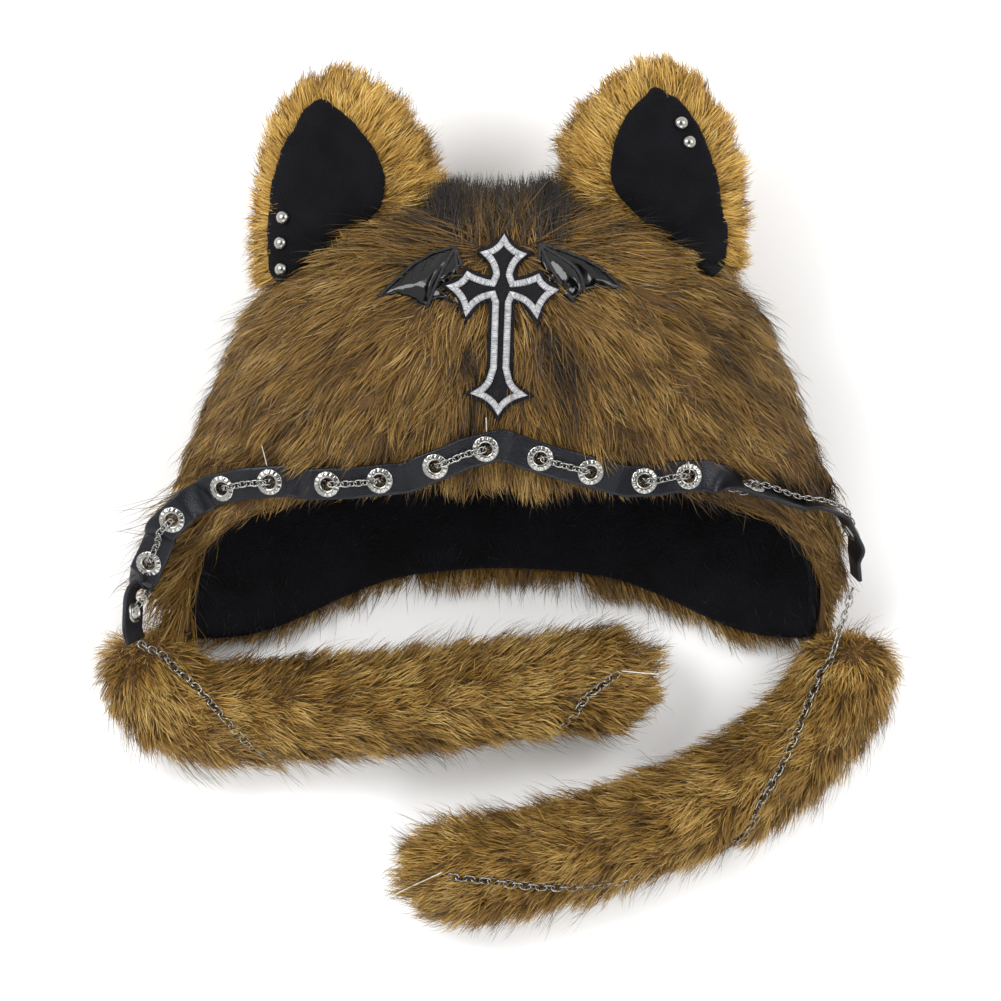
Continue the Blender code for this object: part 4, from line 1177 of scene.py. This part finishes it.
for _ in range(4):
    inner = (faces_out[:-2] + 2 * faces_out[1:-1] + faces_out[2:]) / 4
    faces_out[1:-1] = unit(inner)
line_runs = unit(np.gradient(middle_line, axis=0))
sides_out = unit(np.cross(line_runs, faces_out))
STRAP_CELLS = 14
half_width, half_thick = STRAP_WIDTH / 2, STRAP_THICKNESS / 2
flat_width = STRAP_WIDTH - 0.001
section = [
    (-half_width + 0.0005 + flat_width * k / STRAP_CELLS, half_thick) for k in range(STRAP_CELLS + 1)
]
section.append((half_width, half_thick * 0.4))
section.append((half_width, -half_thick * 0.4))
section += [(w, -half_thick) for w, _ in reversed(section[: STRAP_CELLS + 1])]
section.append((-half_width, -half_thick * 0.4))
section.append((-half_width, half_thick * 0.4))
size = len(section)
points = []
for spot, side_way, face in zip(middle_line, sides_out, faces_out, strict=True):
    points += [spot + side_way * w + face * h for w, h in section]
points = np.array(points)
eyelet_spots = spots[np.array(held_at)]
faces = []
for corner_ids in ring_faces(0, len(middle_line), size):
    middle = points[list(corner_ids)].mean(axis=0)
    if np.linalg.norm(eyelet_spots - middle, axis=1).min() > STRAP_HOLE:
        faces.append(corner_ids)
faces.append(tuple(range(size)))
faces.append(tuple(reversed(range(len(points) - size, len(points)))))
strap = add_mesh("strap_band", points, faces, satin_black)
bm = bmesh.new()
bm.from_mesh(strap.data)
bmesh.ops.recalc_face_normals(bm, faces=bm.faces)
bmesh.ops.delete(bm, geom=[vert for vert in bm.verts if not vert.link_faces], context="VERTS")
bm.to_mesh(strap.data)
bm.free()
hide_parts("strap")
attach(strap, "root")

# Eyelets
# Fifteen nickel-plated pressed eyelets, 12 mm across, set through the strap. Each has a domed
# rolled flange with a ring of small notches, and a plain rolled lip behind.

# Barrel-plated nickel: bright, a little warm, and smeared by handling.
nickel, tree = new_finish("nickel-plated steel")
place = add_node(tree, "TexCoord")
smears = add_node(tree, "TexNoise", {"Vector": place.outputs["Object"], "Scale": 350.0, "Detail": 3.0})
dull = add_node(tree, "MapRange", {"Value": smears.outputs["Fac"], "To Min": 0.14, "To Max": 0.36})
bump = add_node(tree, "Bump", {"Height": smears.outputs["Fac"], "Strength": 0.15, "Distance": 0.0003})
shader = add_node(
    tree,
    "BsdfPrincipled",
    {
        "Base Color": linear("#94938F"),
        "Metallic": 1.0,
        "Roughness": dull.outputs[0],
        "Normal": bump.outputs["Normal"],
    },
)
end_finish(tree, shader)

EYELET_PROFILE = (
    (EYELET_HOLE, -0.0011), (EYELET_HOLE - 0.0001, 0.0010), (0.0032, 0.00185), (0.0040, 0.0020),
    (0.0046, 0.0019), (0.0053, 0.0017), (0.0058, 0.0014), (EYELET_RADIUS, 0.0010),
    (0.0057, 0.00095),
)
EYELET_BACK = ((EYELET_HOLE, -0.0011), (0.0034, -0.0018), (0.0043, -0.0017), (0.0047, -0.0011))
EYELET_SIDES = 60
points, faces = [], []
held_at = np.array(held_at)
for spot, run, turn in zip(eyelet_spots, runs[held_at], np.array(turns)[held_at], strict=True):
    out = face_of(run, turn)
    side_way = np.cross(run, out)
    for profile in (EYELET_PROFILE, EYELET_BACK):
        start = len(points)
        for row, (radius, rise) in enumerate(profile):
            for k in range(EYELET_SIDES):
                notch = 0.0006 if profile is EYELET_PROFILE and row in (4, 5) and k % 4 == 0 else 0.0
                angle = 2 * math.pi * k / EYELET_SIDES
                around = run * math.cos(angle) + side_way * math.sin(angle)
                points.append(spot + around * radius + out * (rise - notch))
        faces += ring_faces(start, len(profile), EYELET_SIDES)
eyelets = add_mesh("eyelets_pressed", points, faces, nickel)
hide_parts(*[f"eyelet_{k:02d}" for k in range(1, 16)])
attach(eyelets, "root")

# Chains
# Light nickel-plated curb chain of 0.7 and 0.8 mm wire. One length is laced through all the eyelets, and
# one is tacked to each tail and winds round it.


def tube_line(name, start):
    """Middle points of a CAD tube, from one end to the other, ring by ring."""
    bm = bmesh.new()
    bm.from_mesh(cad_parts[name].data)
    bmesh.ops.remove_doubles(bm, verts=bm.verts, dist=0.000002)
    ring = sorted(bm.verts, key=lambda vert: (vert.co - Vector(start)).length)[:6]
    seen = set(ring)
    line = []
    while ring:
        line.append(np.array(sum((vert.co for vert in ring), Vector()) / len(ring)))
        near = {edge.other_vert(vert) for vert in ring for edge in vert.link_edges}
        ring = sorted(near - seen, key=lambda vert: vert.index)
        seen.update(ring)
    bm.free()
    return np.array(line)


LINK_STEPS = 14
WIRE_SIDES = 6


def between(places, lengths, rows):
    """The rows' values at places along their line."""
    return np.stack([np.interp(places, lengths, rows[:, k]) for k in range(3)], axis=1)


def links(name, line, ways, pitch, wire, finish):
    """Oval links along a line, each turned a third of a right angle the other way to the last."""
    lengths = np.concatenate([[0], np.cumsum(np.linalg.norm(np.diff(line, axis=0), axis=1))])
    count = int(lengths[-1] / pitch)
    places = (np.arange(count) + 0.5) * lengths[-1] / count
    middles = between(places, lengths, line)
    run = unit(between(places + pitch / 2, lengths, line) - between(places - pitch / 2, lengths, line))
    up = between(places, lengths, ways)
    up = unit(up - run * (up * run).sum(axis=1, keepdims=True))
    across = np.cross(run, up)
    half_long, half_wide = pitch * 0.72, pitch * 0.46
    points, faces = [], []
    for n in range(count):
        roll = math.radians(32 if n % 2 else -32)
        flat = across[n] * math.cos(roll) + up[n] * math.sin(roll)
        normal = up[n] * math.cos(roll) - across[n] * math.sin(roll)
        start = len(points)
        for k in range(LINK_STEPS):
            turn = 2 * math.pi * k / LINK_STEPS
            c, s = math.cos(turn), math.sin(turn)
            shape = (abs(c) ** 2.6 + abs(s) ** 2.6) ** (-1 / 2.6)
            middle = middles[n] + run[n] * half_long * c * shape + flat * half_wide * s * shape
            outward = unit((run[n] * c * half_wide + flat * s * half_long)[None])[0]
            for j in range(WIRE_SIDES):
                spin = 2 * math.pi * j / WIRE_SIDES
                points.append(middle + wire * (outward * math.cos(spin) + normal * math.sin(spin)))
        for k in range(LINK_STEPS):
            a, b = start + k * WIRE_SIDES, start + (k + 1) % LINK_STEPS * WIRE_SIDES
            for j in range(WIRE_SIDES):
                after = (j + 1) % WIRE_SIDES
                faces.append((a + j, a + after, b + after, b + j))
    made = add_mesh(name, points, faces, finish)
    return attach(made, "root")


laced = tube_line("strap_chain", eyelet_spots[0] + 0.001)
ways = []
for spot in laced:
    ways.append(faces_out[np.linalg.norm(middle_line - spot, axis=1).argmin()])
strap_chain = links("strap_chain_links", laced, np.array(ways), 0.0030, 0.00036, nickel)
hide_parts("strap_chain")
CHAIN_STARTS = {"left": (-0.157, -0.070, 0.055), "right": (0.157, -0.070, 0.055)}
for side, start in CHAIN_STARTS.items():
    line = tube_line(f"tail_chain_{side}", start)
    strap_end = spots[0] if side == "left" else spots[-1]
    line = np.concatenate([[strap_end + (line[0] - strap_end) * 0.15], line])
    tail_tree = search_tree(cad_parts[f"tail_fur_{side}"])
    ways = []
    for spot in line:
        near = tail_tree.find_nearest(Vector(spot))[0]
        ways.append(np.array(unit((spot - np.array(near))[None])[0]))
    chain = links(f"tail_chain_links_{side}", line, np.array(ways), 0.0036, 0.00042, nickel)
    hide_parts(f"tail_chain_{side}")

# Tacking threads
# Clear nylon threads left from the making: three hold the strap to the fur, and a short pin of
# the same nylon holds the far end of each tail's chain.

nylon, tree = new_finish("clear nylon thread")
place = add_node(tree, "TexCoord")
haze = add_node(tree, "TexNoise", {"Vector": place.outputs["Object"], "Scale": 900.0})
tone = add_node(tree, "ValToRGB", {"Fac": haze.outputs["Fac"]})
tone.color_ramp.elements[0].color = linear("#9A9184")
tone.color_ramp.elements[1].color = linear("#E9E6DF")
shader = add_node(tree, "BsdfPrincipled", {"Base Color": tone.outputs["Color"], "Roughness": 0.3})
end_finish(tree, shader)
fur_tree = search_tree(
    crown_cloth, *[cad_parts[name] for name in ("strap", "tail_fur_left", "tail_fur_right")]
)
THREADS = {
    "strap_thread_left": ((-0.1062, 0.0214), (-0.1040, 0.0130), (-0.1026, 0.0058)),
    "strap_thread_middle": ((-0.0051, 0.0335), (-0.0049, 0.0275), (-0.0047, 0.0222)),
    "strap_thread_right": ((0.0860, 0.0138), (0.0866, 0.0104), (0.0862, 0.0072)),
    "chain_pin_left": ((0.0560, -0.0805), (0.0640, -0.0813), (0.0727, -0.0820)),
    "chain_pin_right": ((-0.0250, -0.1712), (-0.0350, -0.1758), (-0.0455, -0.1808)),
}
for name, route in THREADS.items():
    line = through([(x, y, 0) for x, y in route], 8)
    rise = 0.0042 if name.startswith("strap") else 0.0075
    line[:, 2] = [height_on(fur_tree, x, y) + rise for x, y, _ in line]
    line[:, 2] = np.linspace(line[0, 2], line[-1, 2], len(line)) + 0.001
    thread = sweep(name, line, 0.00022 if name.startswith("strap") else 0.0003, nylon, 6)
    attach(thread, "root")

# Ear studs
# Five domed nickel studs, 6.3 mm across, pressed through the plush near the ears' edges.

STUD_RADIUS = 0.00315
STUD_RISE = 0.0028
STUD_SIDES = 24
STUD_ROWS = 7
stud_names = [f"ear_stud_left_{k}" for k in (1, 2, 3)] + [f"ear_stud_right_{k}" for k in (1, 2)]
points, faces = [], []
for name in stud_names:
    co = vectors(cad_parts[name].data)
    spread = np.linalg.svd(co - co.mean(axis=0))[2]
    out = spread[2] * np.sign(spread[2][2])
    base = co.mean(axis=0) + out * ((co - co.mean(axis=0)) @ out).min()
    run = unit(np.cross(out, [0.0, 1.0, 0.0])[None])[0]
    side_way = np.cross(out, run)
    start = len(points)
    for row in range(STUD_ROWS):
        lean = math.pi / 2 * row / (STUD_ROWS - 0.6)
        radius = STUD_RADIUS * math.cos(lean)
        for k in range(STUD_SIDES):
            angle = 2 * math.pi * k / STUD_SIDES
            around = run * math.cos(angle) + side_way * math.sin(angle)
            points.append(base + around * radius + out * STUD_RISE * math.sin(lean))
    faces += ring_faces(start, STUD_ROWS, STUD_SIDES)
    faces.append(tuple(start + (STUD_ROWS - 1) * STUD_SIDES + k for k in range(STUD_SIDES)))
studs = add_mesh("ear_studs_domed", points, faces, nickel)
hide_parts(*stud_names)
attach(studs, "root")
